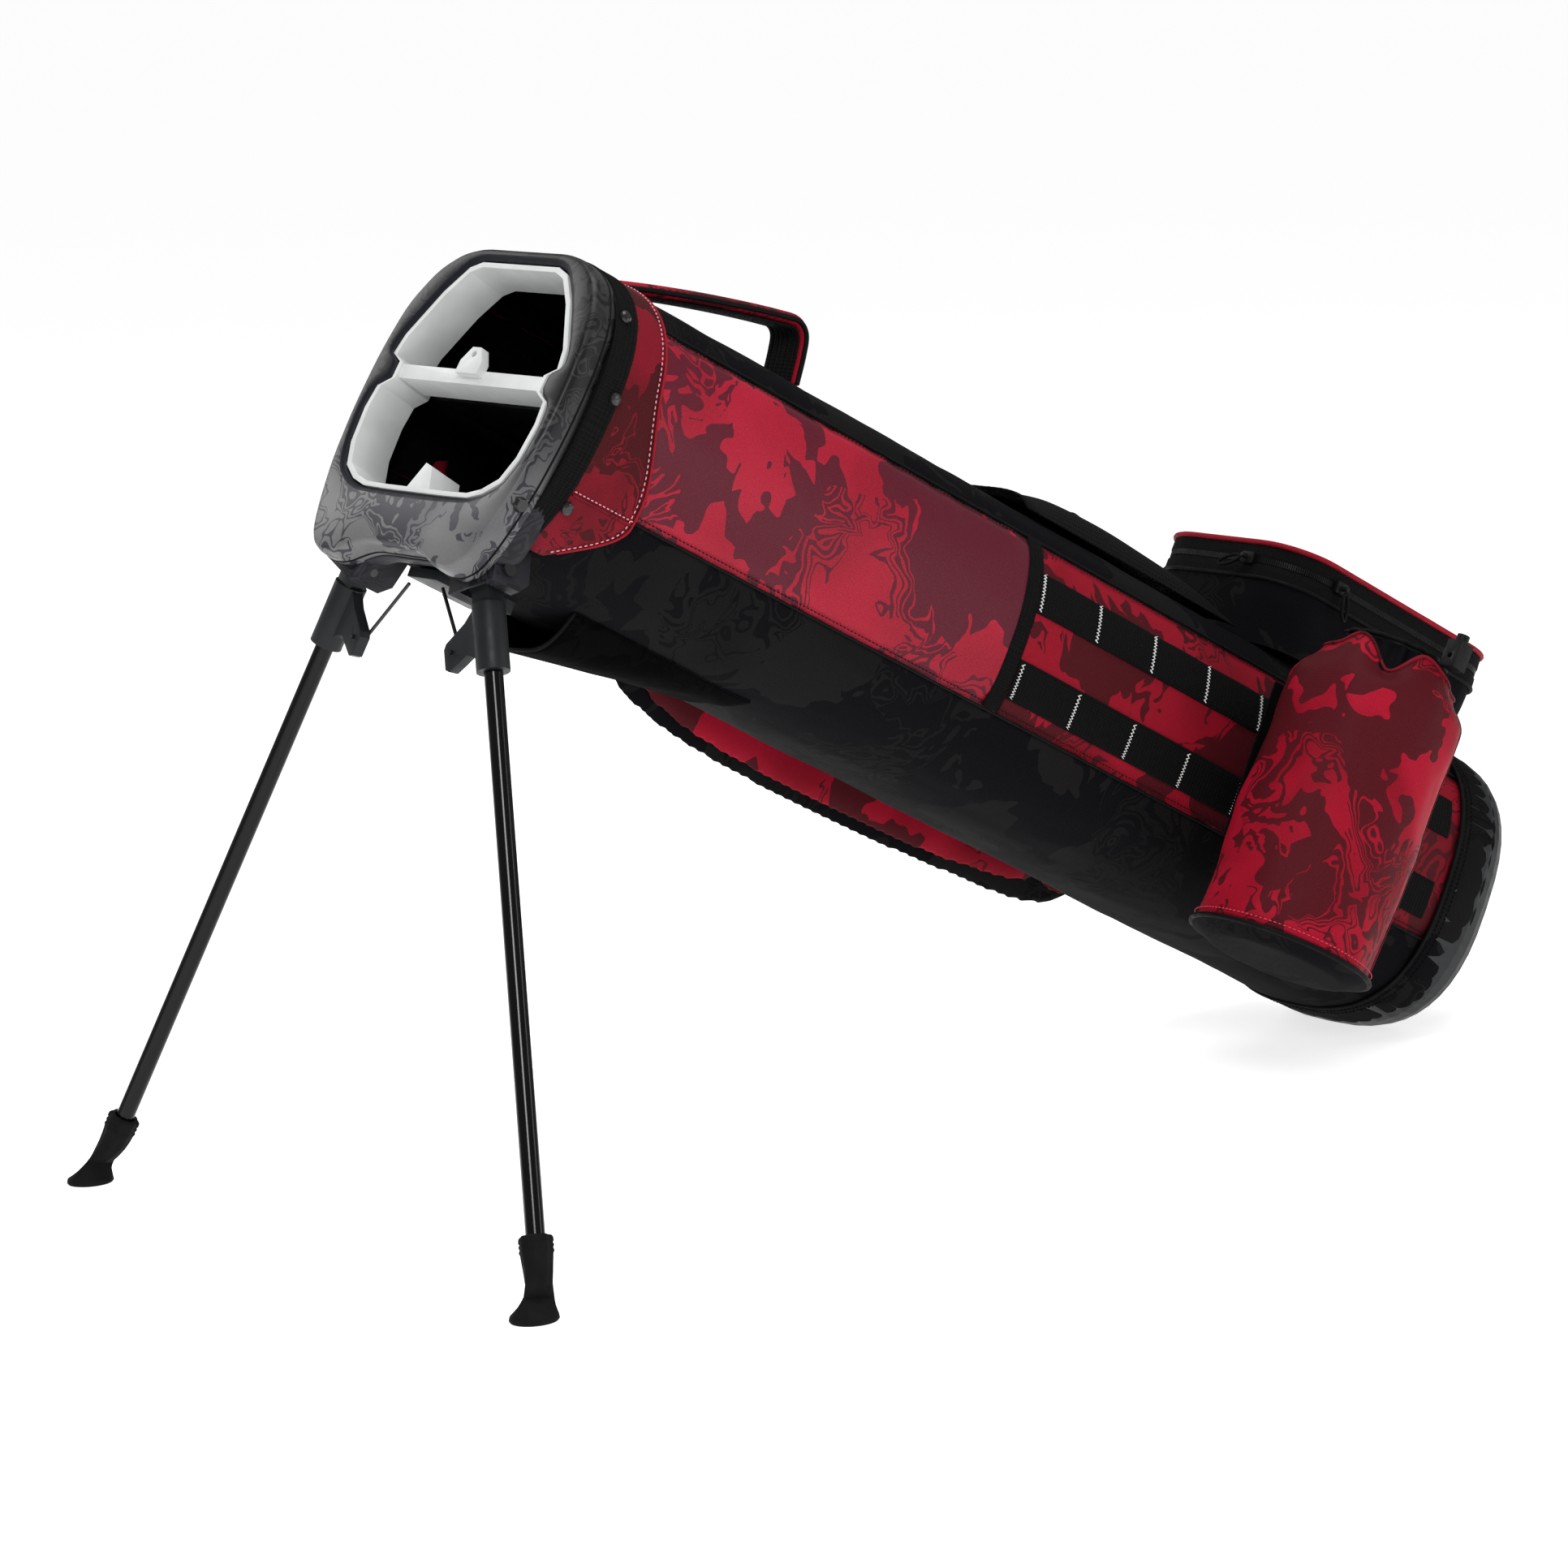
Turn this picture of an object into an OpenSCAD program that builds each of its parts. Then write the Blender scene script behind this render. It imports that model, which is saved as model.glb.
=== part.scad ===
// Golf stand bag, shown standing on its two legs.
// The bag is drawn upright in its own frame (x from spine to belly, y towards
// the pocket side, z up along the bag) and bag() leans it onto its legs.

/* [Bag] */
// Lean of the bag's long axis above the floor, in degrees
lean = 27; // [25:0.5:30]
// Depth of the trunk, from spine to belly
trunk_depth = 195; // [190:1:200]
// Width of the trunk, side to side
trunk_width = 188; // [184:1:190]
// Thickness of the padded fabric walls
wall = 3; // [2.5:0.5:4]
// Height of the collar's top edge above the base, at the spine
collar_z = 877; // [870:1:884]

/* [Legs] */
// Outside diameter of the leg tube
tube_d = 11; // [10:0.5:12]
// Distance of each leg hinge from the bag's middle plane
hinge_y = 60; // [58:1:62]
// How far each leg splays outwards when it stands, in degrees
splay = 22.3; // [20:0.1:24]
// How far each leg stands off from square to the bag, in degrees
droop = 11.9; // [10:0.1:14]

/* [Webbing panel] */
// Width of the accessory webbing
webbing_w = 25.4; // [20:0.1:30]
// Pitch of the bar tacks
tack_pitch = 53.5; // [50:0.5:56]
// Number of bar tacks along a row
tack_count = 8; // [6:1:8]

/* [Accessory pouch] */
// Diameter of the pouch
pouch_d = 120; // [110:1:124]
// Tilt of the pouch along the bag, in degrees
pouch_tilt = 3.5; // [0:0.5:5]

/* [Hidden] */

org_x = 406.8;                 // moves the middle of the standing bag to the origin
d0 = 189;                    // where the belly edge of the base meets the floor
ax = trunk_depth / 2;        // half depth
ay = trunk_width / 2;        // half width
cx = trunk_depth / 2 + 0.5;  // middle of the section, from the spine
nn = 2.6;                    // squareness of the section
side_lo = 72;                // seam angles round the section, 0 at the belly
side_hi = 134;
tape_z = 488;                // lower end of the glossy side panel
panel_top = 852;             // at the spine; the trunk is cut level with the rim
rim_tilt = 6.3;              // the rim rises towards the belly
hinge = [199, hinge_y, 868];
dirn = [cos(droop) * cos(splay), cos(droop) * sin(splay), -sin(droop)];
// distance from the hinge to the sole, so that both feet reach the floor
leg_len = (cos(lean) * (d0 - hinge[0]) + sin(lean) * hinge[2]) / (cos(lean) * dirn[0] - sin(lean) * dirn[2]);
axn = [-sin(splay), cos(splay), 0];
pin_r = 2.5;
tr = tube_d / 2;
rod_y = 12;
rod_x = 176;
$fn = 40;

// ---------- frames ----------
module bag() translate([d0 * sin(lean) + org_x, 0, d0 * cos(lean)])
  rotate([0, -(90 - lean), 0]) rotate([0, 0, 180]) children();
module rim_frame() translate([0, 0, collar_z]) rotate([0, -rim_tilt, 0]) children();
function cross3(a, b) = [a[1] * b[2] - a[2] * b[1], a[2] * b[0] - a[0] * b[2], a[0] * b[1] - a[1] * b[0]];
// the leg's own frame: x along the hinge, z up the leg, origin on the hinge
module leg_frame() {
  zl = -dirn; yl = cross3(zl, axn);
  multmatrix([[axn[0], yl[0], zl[0], hinge[0]], [axn[1], yl[1], zl[1], hinge[1]],
              [axn[2], yl[2], zl[2], hinge[2]], [0, 0, 0, 1]]) children();
}
// the hinge's fixed frame: x along the hinge, y outwards from the belly, z up the bag
module hinge_frame() translate(hinge) rotate([0, 0, splay]) rotate([0, 0, -90]) children();
module far_side() mirror([0, 1, 0]) children();

// ---------- shapes ----------
function sp(v, p) = v < 0 ? -pow(-v, p) : pow(v, p);
function sec(a, t = 0) = [cx + (ax + t) * sp(cos(a), 2 / nn), (ay + t) * sp(sin(a), 2 / nn)];
function secpts(a0, a1, t, n) = [for (i = [0:n]) sec(a0 + (a1 - a0) * i / n, t)];
function rev(v) = [for (i = [len(v) - 1:-1:0]) v[i]];
module sector(a0, a1, t0, t1, z0, z1, n = 16) translate([0, 0, z0])
  linear_extrude(z1 - z0) polygon(concat(secpts(a0, a1, t1, n), rev(secpts(a0, a1, t0, n))));
module section(t, z0, z1, n = 64) translate([0, 0, z0]) linear_extrude(z1 - z0)
  polygon([for (i = [0:n - 1]) sec(360 * i / n, t)]);
module rod(p, q, r) {
  v = q - p; l = norm(v);
  translate(p) rotate([0, acos(v[2] / l), atan2(v[1], v[0])]) cylinder(r = r, h = l);
}
// a closed skin through rings of points
module loft(rings) {
  n = len(rings[0]); m = len(rings);
  polyhedron(points = [for (r = rings) each r], convexity = 8, faces = concat(
    [[for (i = [0:n - 1]) i]],
    [for (j = [0:m - 2]) for (i = [0:n - 1]) each
      [[j * n + i, (j + 1) * n + i, (j + 1) * n + (i + 1) % n],
       [j * n + i, (j + 1) * n + (i + 1) % n, j * n + (i + 1) % n]]],
    [[for (i = [n - 1:-1:0]) (m - 1) * n + i]]));
}
// half outlines as [x, y], mirrored about y = 0 into a ring going round once
function whole(h) = concat(h, [for (i = [len(h) - 1:-1:0]) [h[i][0], -h[i][1]]]);
function grow(h, t) = [for (p = h) [p[0] + t * (p[0] - 92) / 92, p[1] + t * p[1] / 90]];
rim_half = [[2, 16], [2, 40], [6, 57], [18, 74], [42, 88], [75, 93], [112, 93.5], [148, 90], [176, 83], [193, 77],
            [201, 71], [206, 61], [205, 47], [199, 34], [196, 24], [196, 8]];
hole_half = [[11, 12], [11, 36], [15, 46], [32, 60], [62, 77], [75, 80], [80, 70.5], [91, 70.5], [97, 81], [112, 83],
             [135, 80.5], [150, 74], [158, 62], [161.5, 50], [162, 30], [162, 10]];
module outline(h, z0, z1) translate([0, 0, z0]) linear_extrude(z1 - z0) polygon(whole(h));
function ring_at(h, z) = [for (p = whole(h)) [p[0], p[1], z]];
function rr(w, l, r, n = 6) = // rounded rectangle, counted anticlockwise
  [for (c = [[1, 1, 0], [-1, 1, 90], [-1, -1, 180], [1, -1, 270]]) for (i = [0:n])
    [c[0] * (w / 2 - r) + r * cos(c[2] + 90 * i / n), c[1] * (l / 2 - r) + r * sin(c[2] + 90 * i / n)]];

// ---------- collar ----------
module top_collar() color([0.24, 0.24, 0.26]) bag() rim_frame() difference() {
  loft([ring_at(grow(rim_half, 0), -20), ring_at(grow(rim_half, 0.5), -8), ring_at(grow(rim_half, -3), 0)]);
  outline(hole_half, -80, 5);
}
module hinge_block() difference() {
  hinge_frame() difference() {
    translate([-17.5, -24, -17]) cube([35, 34, 38]);
    // room for the bracket to swing from standing to folded
    translate([-10.3, -10.5, -40]) cube([20.6, 60, 50.3]);
    // lower front corner taken off, clear of the bracket's wing
    rotate([90, 0, 90]) translate([0, 0, -30]) linear_extrude(60) polygon([[3, -17.01], [10.01, -10], [20, -10], [20, -30], [3, -30]]);
    rotate([0, 90, 0]) translate([0, 0, -30]) cylinder(r = pin_r + 0.02, h = 60);
  }
  // the rim closes the top, and the trunk's edge sits behind
  rim_frame() translate([-20, -120, -20]) cube([300, 240, 60]);
  rim_frame() translate([-20, -120, -60]) cube([182, 240, 60]);
  section(0.4, 820, 900);
}
module leg_housing() color([0.16, 0.16, 0.17]) bag() { hinge_block(); far_side() hinge_block(); }
// rim screws, one on each side of the chin
module collar_bolts() color([0.08, 0.08, 0.09]) bag() for (s = [0, 1]) mirror([0, s, 0]) rim_frame()
  translate([158, 88.2, -10]) rotate([-90, 0, -12]) cylinder(r1 = 4.6, r2 = 3.6, h = 2.4);
module divider_liner() color([0.92, 0.92, 0.92]) bag() rim_frame() {
  inner = grow(hole_half, -4.2);
  difference() {
    union() {
      difference() { outline(grow(hole_half, -0.5), -30, -1.5); outline(inner, -31, 0); }
      translate([80.5, -69.8, -26]) cube([9, 139.6, 22]);
      // towel hook on the cross bar
      translate([74, 0, -4.5]) linear_extrude(6) polygon([[-6, -4], [-6, 4], [3, 10], [11, 10], [11, -10], [3, -10]]);
      // chin peg
      translate([151, 0, -26]) linear_extrude(23) polygon([[-9, -3], [-7, 4], [8, 11], [8, -11]]);
    }
    translate([72.5, 0, -10]) cylinder(r = 2, h = 20);
  }
}
module collar_band() color([0.05, 0.05, 0.05]) bag() difference() {
  translate([0, 0, -2]) rim_frame() translate([-1, 0, 0]) sector(52, 308, 0.4, 2.6, -36, -20.3, 56);
  section(0.3, 800, 900);
}
rivet_at = [[66, 853.5], [96, 852.5], [126, 856.5]];
module rivet_place(a, z, s) let (p = sec(a, 3.15), q = sec(a - 1, 3.15), r = sec(a + 1, 3.15)) mirror([0, s, 0])
  translate([p[0] - 0.2, p[1] + 0.3, z]) rotate([0, 0, atan2(r[1] - q[1], r[0] - q[0]) - 90]) rotate([0, 90, 0]) children();
module band_rivets() color([0.07, 0.07, 0.08]) bag() for (s = [0, 1]) for (r = rivet_at)
  rivet_place(r[0], r[1] + (r[0] > 100 ? -1 : 1), s) rotate_extrude() polygon([[0, 0], [4, 0], [3.6, 1.4], [2.2, 2.3], [0, 2.5]]);

// ---------- trunk ----------
module cuff() color([0.55, 0.06, 0.12]) bag() difference() {
  sector(side_lo - 22, 360 - side_lo + 22, 0.4, 2.4, 818, 846, 72);
  translate([0, 0, -2]) rim_frame() translate([-60, -120, -36.5]) cube([300, 240, 60]);
}
// everything above the rim's underside is cut off
module under_rim() difference() { children(); rim_frame() translate([-30, -120, -20.3]) cube([300, 240, 80]); }
module side_panel_near() color([0.72, 0.09, 0.18]) bag() under_rim() sector(side_lo, side_hi, -wall, 0, tape_z, 890, 20);
module side_panel_far() color([0.62, 0.07, 0.14]) bag() under_rim() far_side() sector(side_lo, side_hi, -wall, 0, 24, 890, 20);
module webbing_panel() color([0.55, 0.06, 0.12]) bag() sector(side_lo, side_hi, -wall, 0, 24, tape_z, 20);
module belly_panel() color([0.11, 0.11, 0.12]) bag() difference() {
  // three strips, a seam's width apart
  under_rim() for (a = [[-side_lo, -36.1, 12], [-36, 36, 22], [36.1, side_lo, 12]]) sector(a[0], a[1], -wall, 0, 24, 890, a[2]);
  // gap that the actuator yoke works in
  translate([150, -24, 792]) cube([80, 48, 110]);
}
module spine_panel() color([0.07, 0.07, 0.08]) bag() under_rim()
  for (a = [[side_hi, 146], [146.1, 162], [162.1, 197.9], [198, 213.9], [214, 360 - side_hi]]) sector(a[0], a[1], -wall, 0, 24, 890, 8);
module leg_hood() color([0.11, 0.11, 0.12]) bag() difference() {
  translate([0, 47, 0]) rotate([90, 0, 0]) linear_extrude(94)
    polygon([[180, 640], [197, 640], [208, 690], [219, 740], [222, 778], [219, 790], [180, 790]]);
  translate([0, 43.5, 0]) rotate([90, 0, 0]) linear_extrude(87)
    polygon([[179, 638], [194, 638], [204.8, 690], [215.6, 740], [218.6, 776], [216, 792], [179, 792]]);
  section(0.3, 600, 800);
}
module panel_edge_tape() color([0.05, 0.05, 0.05]) bag() sector(side_lo + 1, side_hi - 1, 0.3, 1.5, tape_z - 2, tape_z + 10, 20);
module stay_rods() color([0.75, 0.75, 0.72]) bag() for (a = [38, 142, 218, 322]) let (p = sec(a, -wall - 4.2))
  translate([p[0], p[1], 10]) cylinder(r = 3, h = 834);
module divider_sheet() color([0.06, 0.06, 0.07]) bag() translate([86, -85, 70]) cube([1.6, 170, 772]);
module accessory_webbing() color([0.04, 0.04, 0.04]) bag() for (r = [[101.7, 117.6], [78.6, 89.6]])
  sector(r[0], r[1], 0.3, 1.7, 66, tape_z - 2.4, 8);
module bar_tacks() color([0.92, 0.92, 0.92]) bag() for (r = [[101.7, 117.6], [78.6, 89.6]]) for (i = [0:tack_count - 1])
  let (z = tape_z - 4 - tack_pitch * i) sector(r[0] + 0.2, r[1] - 0.2, 1.8, 2.5, z, z + 1.8, 6);

// ---------- base ----------
module base_cup() color([0.10, 0.10, 0.11]) bag() difference() {
  loft([for (k = [[0, -11], [2, -5], [6, -1.5], [13, 1.2], [22, 2.4], [46, 2.4]])
    [for (i = [0:47]) let (p = sec(7.5 * i, k[1])) [p[0], p[1], k[0]]]]);
  section(-1.2 - wall, 9, 60);
  section(0.4, 20, 60);
  // flat where the base stands on the floor
  translate([d0, -120, 0]) rotate([0, lean, 0]) translate([0, 0, -60]) cube([60, 240, 120]);
  // recess for the lever, and its pin
  translate([92, -36, -1]) cube([89, 72, 7.2]);
  for (s = [-1, 1]) translate([rod_x, s * rod_y, -1]) cylinder(r = 2, h = 20);
  translate([98, 0, 3]) rotate([90, 0, 0]) translate([0, 0, -44]) cylinder(r = 2.02, h = 88);
  for (a = [38, 142, 218, 322]) let (p = sec(a, -wall - 4.2)) translate([p[0], p[1], 9.5]) cylinder(r = 3.1, h = 40);
}
module base_lever() color([0.05, 0.05, 0.05]) bag() difference() {
  union() {
    translate([98, -34, 1.2]) cube([82, 68, 3]);
    translate([98, 34, 3]) rotate([90, 0, 0]) cylinder(r = 1.8 + 1.0, h = 68);
  }
  translate([98, 50, 3]) rotate([90, 0, 0]) cylinder(r = 2.06, h = 100);
}
module base_lever_pin() color([0.7, 0.7, 0.72]) bag() translate([98, 43.5, 3]) rotate([90, 0, 0]) cylinder(r = 2, h = 87);

// ---------- legs ----------
module leg_pin() color([0.12, 0.12, 0.13]) bag() hinge_frame() rotate([0, 90, 0]) {
  translate([0, 0, -17.5]) cylinder(r = pin_r, h = 35);
  translate([0, 0, -19.7]) cylinder(r = 4.4, h = 2.2);
}
module leg_bracket() color([0.13, 0.14, 0.15]) bag() leg_frame() difference() {
  union() {
    rotate([0, 90, 0]) translate([0, 0, -9.8]) cylinder(r = 8, h = 19.6);
    translate([-7, -6, -22]) cube([14, 12, 22]);
    translate([0, 0, -56]) cylinder(r = 9.8, h = 40);
    rotate([90, 0, 0]) translate([0, 0, -3.5]) linear_extrude(7)
      polygon([[-5, -13], [-17, -23], [-33, -31], [-35, -34], [-35, -46], [-32, -48], [-24, -45], [-17, -42], [-11, -45], [-6, -52], [0, -52], [0, -13]]);
  }
  translate([0, 0, -60]) cylinder(r = tr + 0.05, h = 39);
  rotate([0, 90, 0]) translate([0, 0, -20]) cylinder(r = pin_r + 0.06, h = 40);
  translate([-29, 0, -37]) rotate([90, 0, 0]) translate([0, 0, -10]) cylinder(r = 1.4, h = 20);
}
module leg_tube() color([0.07, 0.07, 0.08]) bag() leg_frame() translate([0, 0, -402]) difference() {
  cylinder(r = tr, h = 380.6);
  translate([0, 0, 2]) cylinder(r = tr - 1, h = 380);
}
module leg_foot() color([0.08, 0.08, 0.08]) bag() difference() {
  hull() {
    leg_frame() translate([0, 0, -412]) cylinder(r = 9, h = 28, $fn = 32);
    floor_at() translate([0, 0, 0.0]) scale([1, 1, 1]) linear_extrude(3.5) polygon([for (p = rr(30, 24, 9, 4)) p + [-5, 0]]);
  }
  leg_frame() translate([0, 0, -402.2]) cylinder(r = tr + 0.05, h = 60);
}
// the sole's own frame: flat on the floor, under the end of the near leg
module floor_at() translate(hinge + dirn * leg_len) rotate([0, 0, 180]) rotate([0, 90 - lean, 0]) children();
module link_wire() color([0.10, 0.10, 0.11]) bag() {
  a = hinge + axn * (-29) + dirn * 37;
  yl = cross3(-dirn, axn);
  rod(a - yl * 5.2, a + yl * 5.2, 1.1);
  rod(a + yl * 4.4, [207, 16, 862], 1.1);
}

// ---------- stand actuator ----------
module actuator_rods() color([0.5, 0.5, 0.52]) bag() for (s = [-1, 1]) {
  translate([rod_x, s * rod_y, 5.3]) cylinder(r = 1.6, h = 810);
}
module actuator_yoke() color([0.06, 0.06, 0.06]) bag() difference() {
  union() {
    translate([171, -20, 812]) cube([33, 40, 22]);
    translate([198, -14, 833]) cube([6, 28, 34]);
  }
  for (s = [-1, 1]) translate([rod_x, s * rod_y, 800]) cylinder(r = 1.65, h = 15.5);
  translate([192, -30, 823]) rotate([-90, 0, 0]) cylinder(r = 1.5, h = 60);
}

// ---------- handle ----------
handle_line = [[-3.6, 812], [-12, 786], [-22, 752], [-31, 718], [-38, 688], [-39, 676], [-34, 669], [-22, 664.5], [-3.6, 662]];
module handle_part(w, t0, t1) translate([0, w / 2, 0]) rotate([90, 0, 0]) linear_extrude(w)
  polygon(concat([for (i = [0:len(handle_line) - 1]) side_of(i, t0)], rev([for (i = [0:len(handle_line) - 1]) side_of(i, t1)])));
function side_of(i, t) = let (a = handle_line[max(0, i - 1)], b = handle_line[min(len(handle_line) - 1, i + 1)],
  v = (b - a) / norm(b - a)) handle_line[i] + t * [v[1], -v[0]];
module handle_grip() color([0.62, 0.07, 0.14]) bag() difference() { handle_part(30, -4.5, 3.4); section(0.3, 600, 900); }
module handle_webbing() color([0.04, 0.04, 0.04]) bag() difference() { handle_part(26, 3.6, 6.2); section(0.3, 600, 900); }

// ---------- back pockets ----------
module mesh_pocket() color([0.05, 0.05, 0.05]) bag() difference() {
  translate([0, 44, 0]) rotate([90, 0, 0]) linear_extrude(88)
    polygon([[4, 269], [-8, 273], [-15, 305], [-19, 360], [-20, 398], [-18, 440], [-13, 465], [4, 465]]);
  translate([0, 41.5, 0]) rotate([90, 0, 0]) linear_extrude(83)
    polygon([[6, 272.4], [-5.6, 276], [-12.5, 306], [-16.6, 360], [-17.6, 398], [-15.6, 440], [-10.6, 466], [6, 466]]);
  section(0.3, 200, 600);
}
module mesh_pocket_rim() color([0.04, 0.04, 0.04]) bag() difference() {
  translate([-14, -46, 465.4]) cube([22, 92, 11]);
  translate([-11, -43, 460]) cube([60, 86, 30]);
  section(0.3, 400, 600);
}
pocket_l = 218; pocket_w = 136; pocket_mid = 150;
function pring(w, l, r, x, dz = 0) = [for (p = rr(l, w, r, 5)) [x, p[1], pocket_mid + dz + p[0]]];
module pocket_tub() color([0.09, 0.09, 0.10]) bag() difference() {
  loft([pring(pocket_w - 12, pocket_l - 10, 30, 12), pring(pocket_w - 2, pocket_l - 2, 34, -12), pring(pocket_w, pocket_l, 36, -38)]);
  loft([pring(pocket_w - 19, pocket_l - 17, 27, 14), pring(pocket_w - 9, pocket_l - 9, 31, -12), pring(pocket_w - 7, pocket_l - 7, 33, -40)]);
  section(0.3, -20, 400);
  section(2.8, -20, 47);
}
module pocket_zip_band() color([0.04, 0.04, 0.04]) bag() difference() {
  loft([pring(pocket_w + 1, pocket_l + 1, 36, -38.3), pring(pocket_w, pocket_l, 36, -60)]);
  loft([pring(pocket_w - 5, pocket_l - 5, 33, -37), pring(pocket_w - 6, pocket_l - 6, 33, -62)]);
}
module pocket_lid() color([0.62, 0.07, 0.14]) bag()
  loft([pring(pocket_w, pocket_l, 36, -60.3), pring(pocket_w, pocket_l, 36, -66), pring(pocket_w - 14, pocket_l - 14, 32, -71), pring(pocket_w - 50, pocket_l - 50, 20, -74)]);
module slider_body() {
  translate([-4, -1.5, -5]) cube([8, 3, 10]);
  rotate([-90, 0, 0]) cylinder(r = 1.8, h = 6.6);
}
slider_n = [-50, pocket_w / 2 + 2.2, 215];
slider_t = [-50, 26, pocket_mid + pocket_l / 2 + 2.2];
module zip_slider_near() color([0.1, 0.1, 0.1]) bag() translate(slider_n) slider_body();
module zip_slider_top() color([0.1, 0.1, 0.1]) bag() translate(slider_t) rotate([90, 0, 0]) mirror([0, 0, 1]) slider_body();
module pull_body() difference() {
  union() {
    translate([-4, -1.4, -24]) cube([8, 3, 24]);
    rotate([-90, 0, 0]) translate([0, 0, -1.4]) cylinder(r = 4, h = 3);
  }
  translate([0, 0, -20]) rotate([90, 0, 0]) translate([0, 0, -4]) cylinder(r = 2, h = 8);
  rotate([90, 0, 0]) translate([0, 0, -4]) cylinder(r = 1.86, h = 8);
}
module zip_pull_near() color([0.06, 0.06, 0.06]) bag() translate(slider_n + [0, 3.4, 0]) rotate([0, -70, 0]) pull_body();
module zip_pull_top() color([0.06, 0.06, 0.06]) bag() translate(slider_t + [0, 0, 3.6]) rotate([-90, 0, 0]) rotate([0, -20, 0]) pull_body();

// ---------- accessory pouch ----------
pouch_y = ay + 4 + pouch_d / 2 + 0.4; pouch_z = 247;
module pouch_frame() translate([100, pouch_y, pouch_z]) rotate([0, -pouch_tilt, 0]) rotate([0, 90, 0]) children();
// z runs from the throat (-) to the floor of the pouch (+)
module pouch_shell() color([0.66, 0.07, 0.15]) bag() pouch_frame() difference() {
  union() { translate([0, 0, -76]) cylinder(d = pouch_d, h = 180); translate([0, 0, -98]) cylinder(d1 = pouch_d - 26, d2 = pouch_d, h = 22, $fn = 48); }
  translate([0, 0, -76]) cylinder(d = pouch_d - 6, h = 177);
  translate([0, 0, -100]) cylinder(d1 = pouch_d - 34, d2 = pouch_d - 6, h = 24.01, $fn = 48);
}
module pouch_base() color([0.06, 0.06, 0.07]) bag() pouch_frame() translate([0, 0, 104.2]) {
  cylinder(d = pouch_d + 1, h = 3);
  translate([0, 0, 3]) cylinder(d1 = pouch_d - 2, d2 = pouch_d - 24, h = 5, $fn = 48);
}
module pouch_throat() color([0.05, 0.05, 0.06]) bag() pouch_frame() translate([0, 0, -106]) difference() {
  cylinder(d1 = 62, d2 = 94.2, h = 14, $fn = 48);
  translate([0, 0, -1]) cylinder(d1 = 54, d2 = 90, h = 16, $fn = 48);
}
module pouch_straps() color([0.04, 0.04, 0.04]) bag() for (z = [-17, 17])
  translate([34, ay + 2.9, pouch_z + z - 9]) cube([104, 1.3, 18]);
module cord_lock_body() color([0.07, 0.07, 0.08]) bag() pouch_frame() translate([0, 50.8, -108]) difference() {
  translate([-6, -6, -9]) cube([12, 12, 18]);
  translate([0, 0, -10]) cylinder(r = 4.2, h = 13);
  rotate([0, 90, 0]) translate([-2, 0, -10]) cylinder(r = 1.7, h = 20);
}
module cord_lock_button() color([0.12, 0.12, 0.13]) bag() pouch_frame() translate([0, 50.8, -108]) difference() {
  translate([0, 0, -14]) cylinder(r = 4.1, h = 12);
  rotate([0, 90, 0]) translate([4.0, 0, -10]) cylinder(r = 1.7, h = 20);
}
module pouch_cord() color([0.05, 0.05, 0.05]) bag() pouch_frame() translate([0, 0, -100]) difference() {
  rotate_extrude() translate([41.5, 0]) circle(r = 1.5, $fn = 20);
  translate([-8, 30, -5]) cube([16, 20, 10]);
}

// ---------- shoulder strap ----------
function pad_path(i) = [[118, -103, 652], [140, -105, 622], [158, -107, 580], [166, -108, 520], [168, -108, 440], [167, -108, 360],
                        [164, -107, 290], [160, -106, 226], [148, -104, 186]][i];
function pad_ring(i, w, t, dy) = let (a = pad_path(max(0, i - 1)), b = pad_path(min(8, i + 1)), v = (b - a) / norm(b - a),
  u = [-v[2], 0, v[0]] / norm([v[2], 0, v[0]]), k = (i == 0 || i == 8) ? 0.55 : (i == 1 || i == 7) ? 0.86 : 1)
  [for (c = rr(w * k, t, t * 0.42, 3)) pad_path(i) - u * c[0] + [0, c[1] - dy, 0]];
module strap_inner_pad() color([0.5, 0.05, 0.1]) bag() loft([for (i = [0:8]) pad_ring(i, 66, 5, 0)]);
module strap_outer_pad() color([0.06, 0.06, 0.06]) bag() loft([for (i = [0:8]) pad_ring(i, 80, 12, 9)]);
module band_run(p, w, t) { // flat webbing through points, width along x-z
  for (i = [0:len(p) - 2]) let (v = p[i + 1] - p[i], l = norm(v), a = atan2(v[0], v[2]), b = asin(v[1] / l))
    translate(p[i]) rotate([0, a, 0]) rotate([-b, 0, 0]) translate([-w / 2, -t / 2, 0]) cube([w, t, l]);
}
module strap_web_upper() color([0.04, 0.04, 0.04]) bag() band_run([[117, -110, 655], [75.5, -102, 735]], 25, 2);
module strap_web_lower() color([0.04, 0.04, 0.04]) bag() band_run([[147.9, -110, 185.7], [143.6, -109, 171.4], [103, -104.8, 154]], 25, 2);
module strap_ring() color([0.12, 0.12, 0.13]) bag() translate([65, -100.6, 755]) rotate([90, 27, 0]) difference() {
  translate([0, 0, -1.6]) linear_extrude(3.2) polygon(rr(34, 20, 6, 6));
  translate([0, 0, -3]) linear_extrude(6) polygon(rr(26, 12, 4, 6));
}
module strap_adjuster() color([0.06, 0.06, 0.06]) bag() translate([92, -103.6, 136]) rotate([90, 32, 0]) difference() {
  translate([0, 0, -2]) linear_extrude(4) polygon(rr(36, 24, 4, 6));
  for (y = [-6, 6]) translate([-13, y - 2.5, -4]) cube([26, 5, 8]);
}
module strap_anchors() color([0.05, 0.05, 0.05]) bag() {
  translate([46, -97.6, 762]) cube([26, 2.4, 40]);
  translate([70, -97.8, 84]) cube([26, 2.4, 40]);
}

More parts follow.
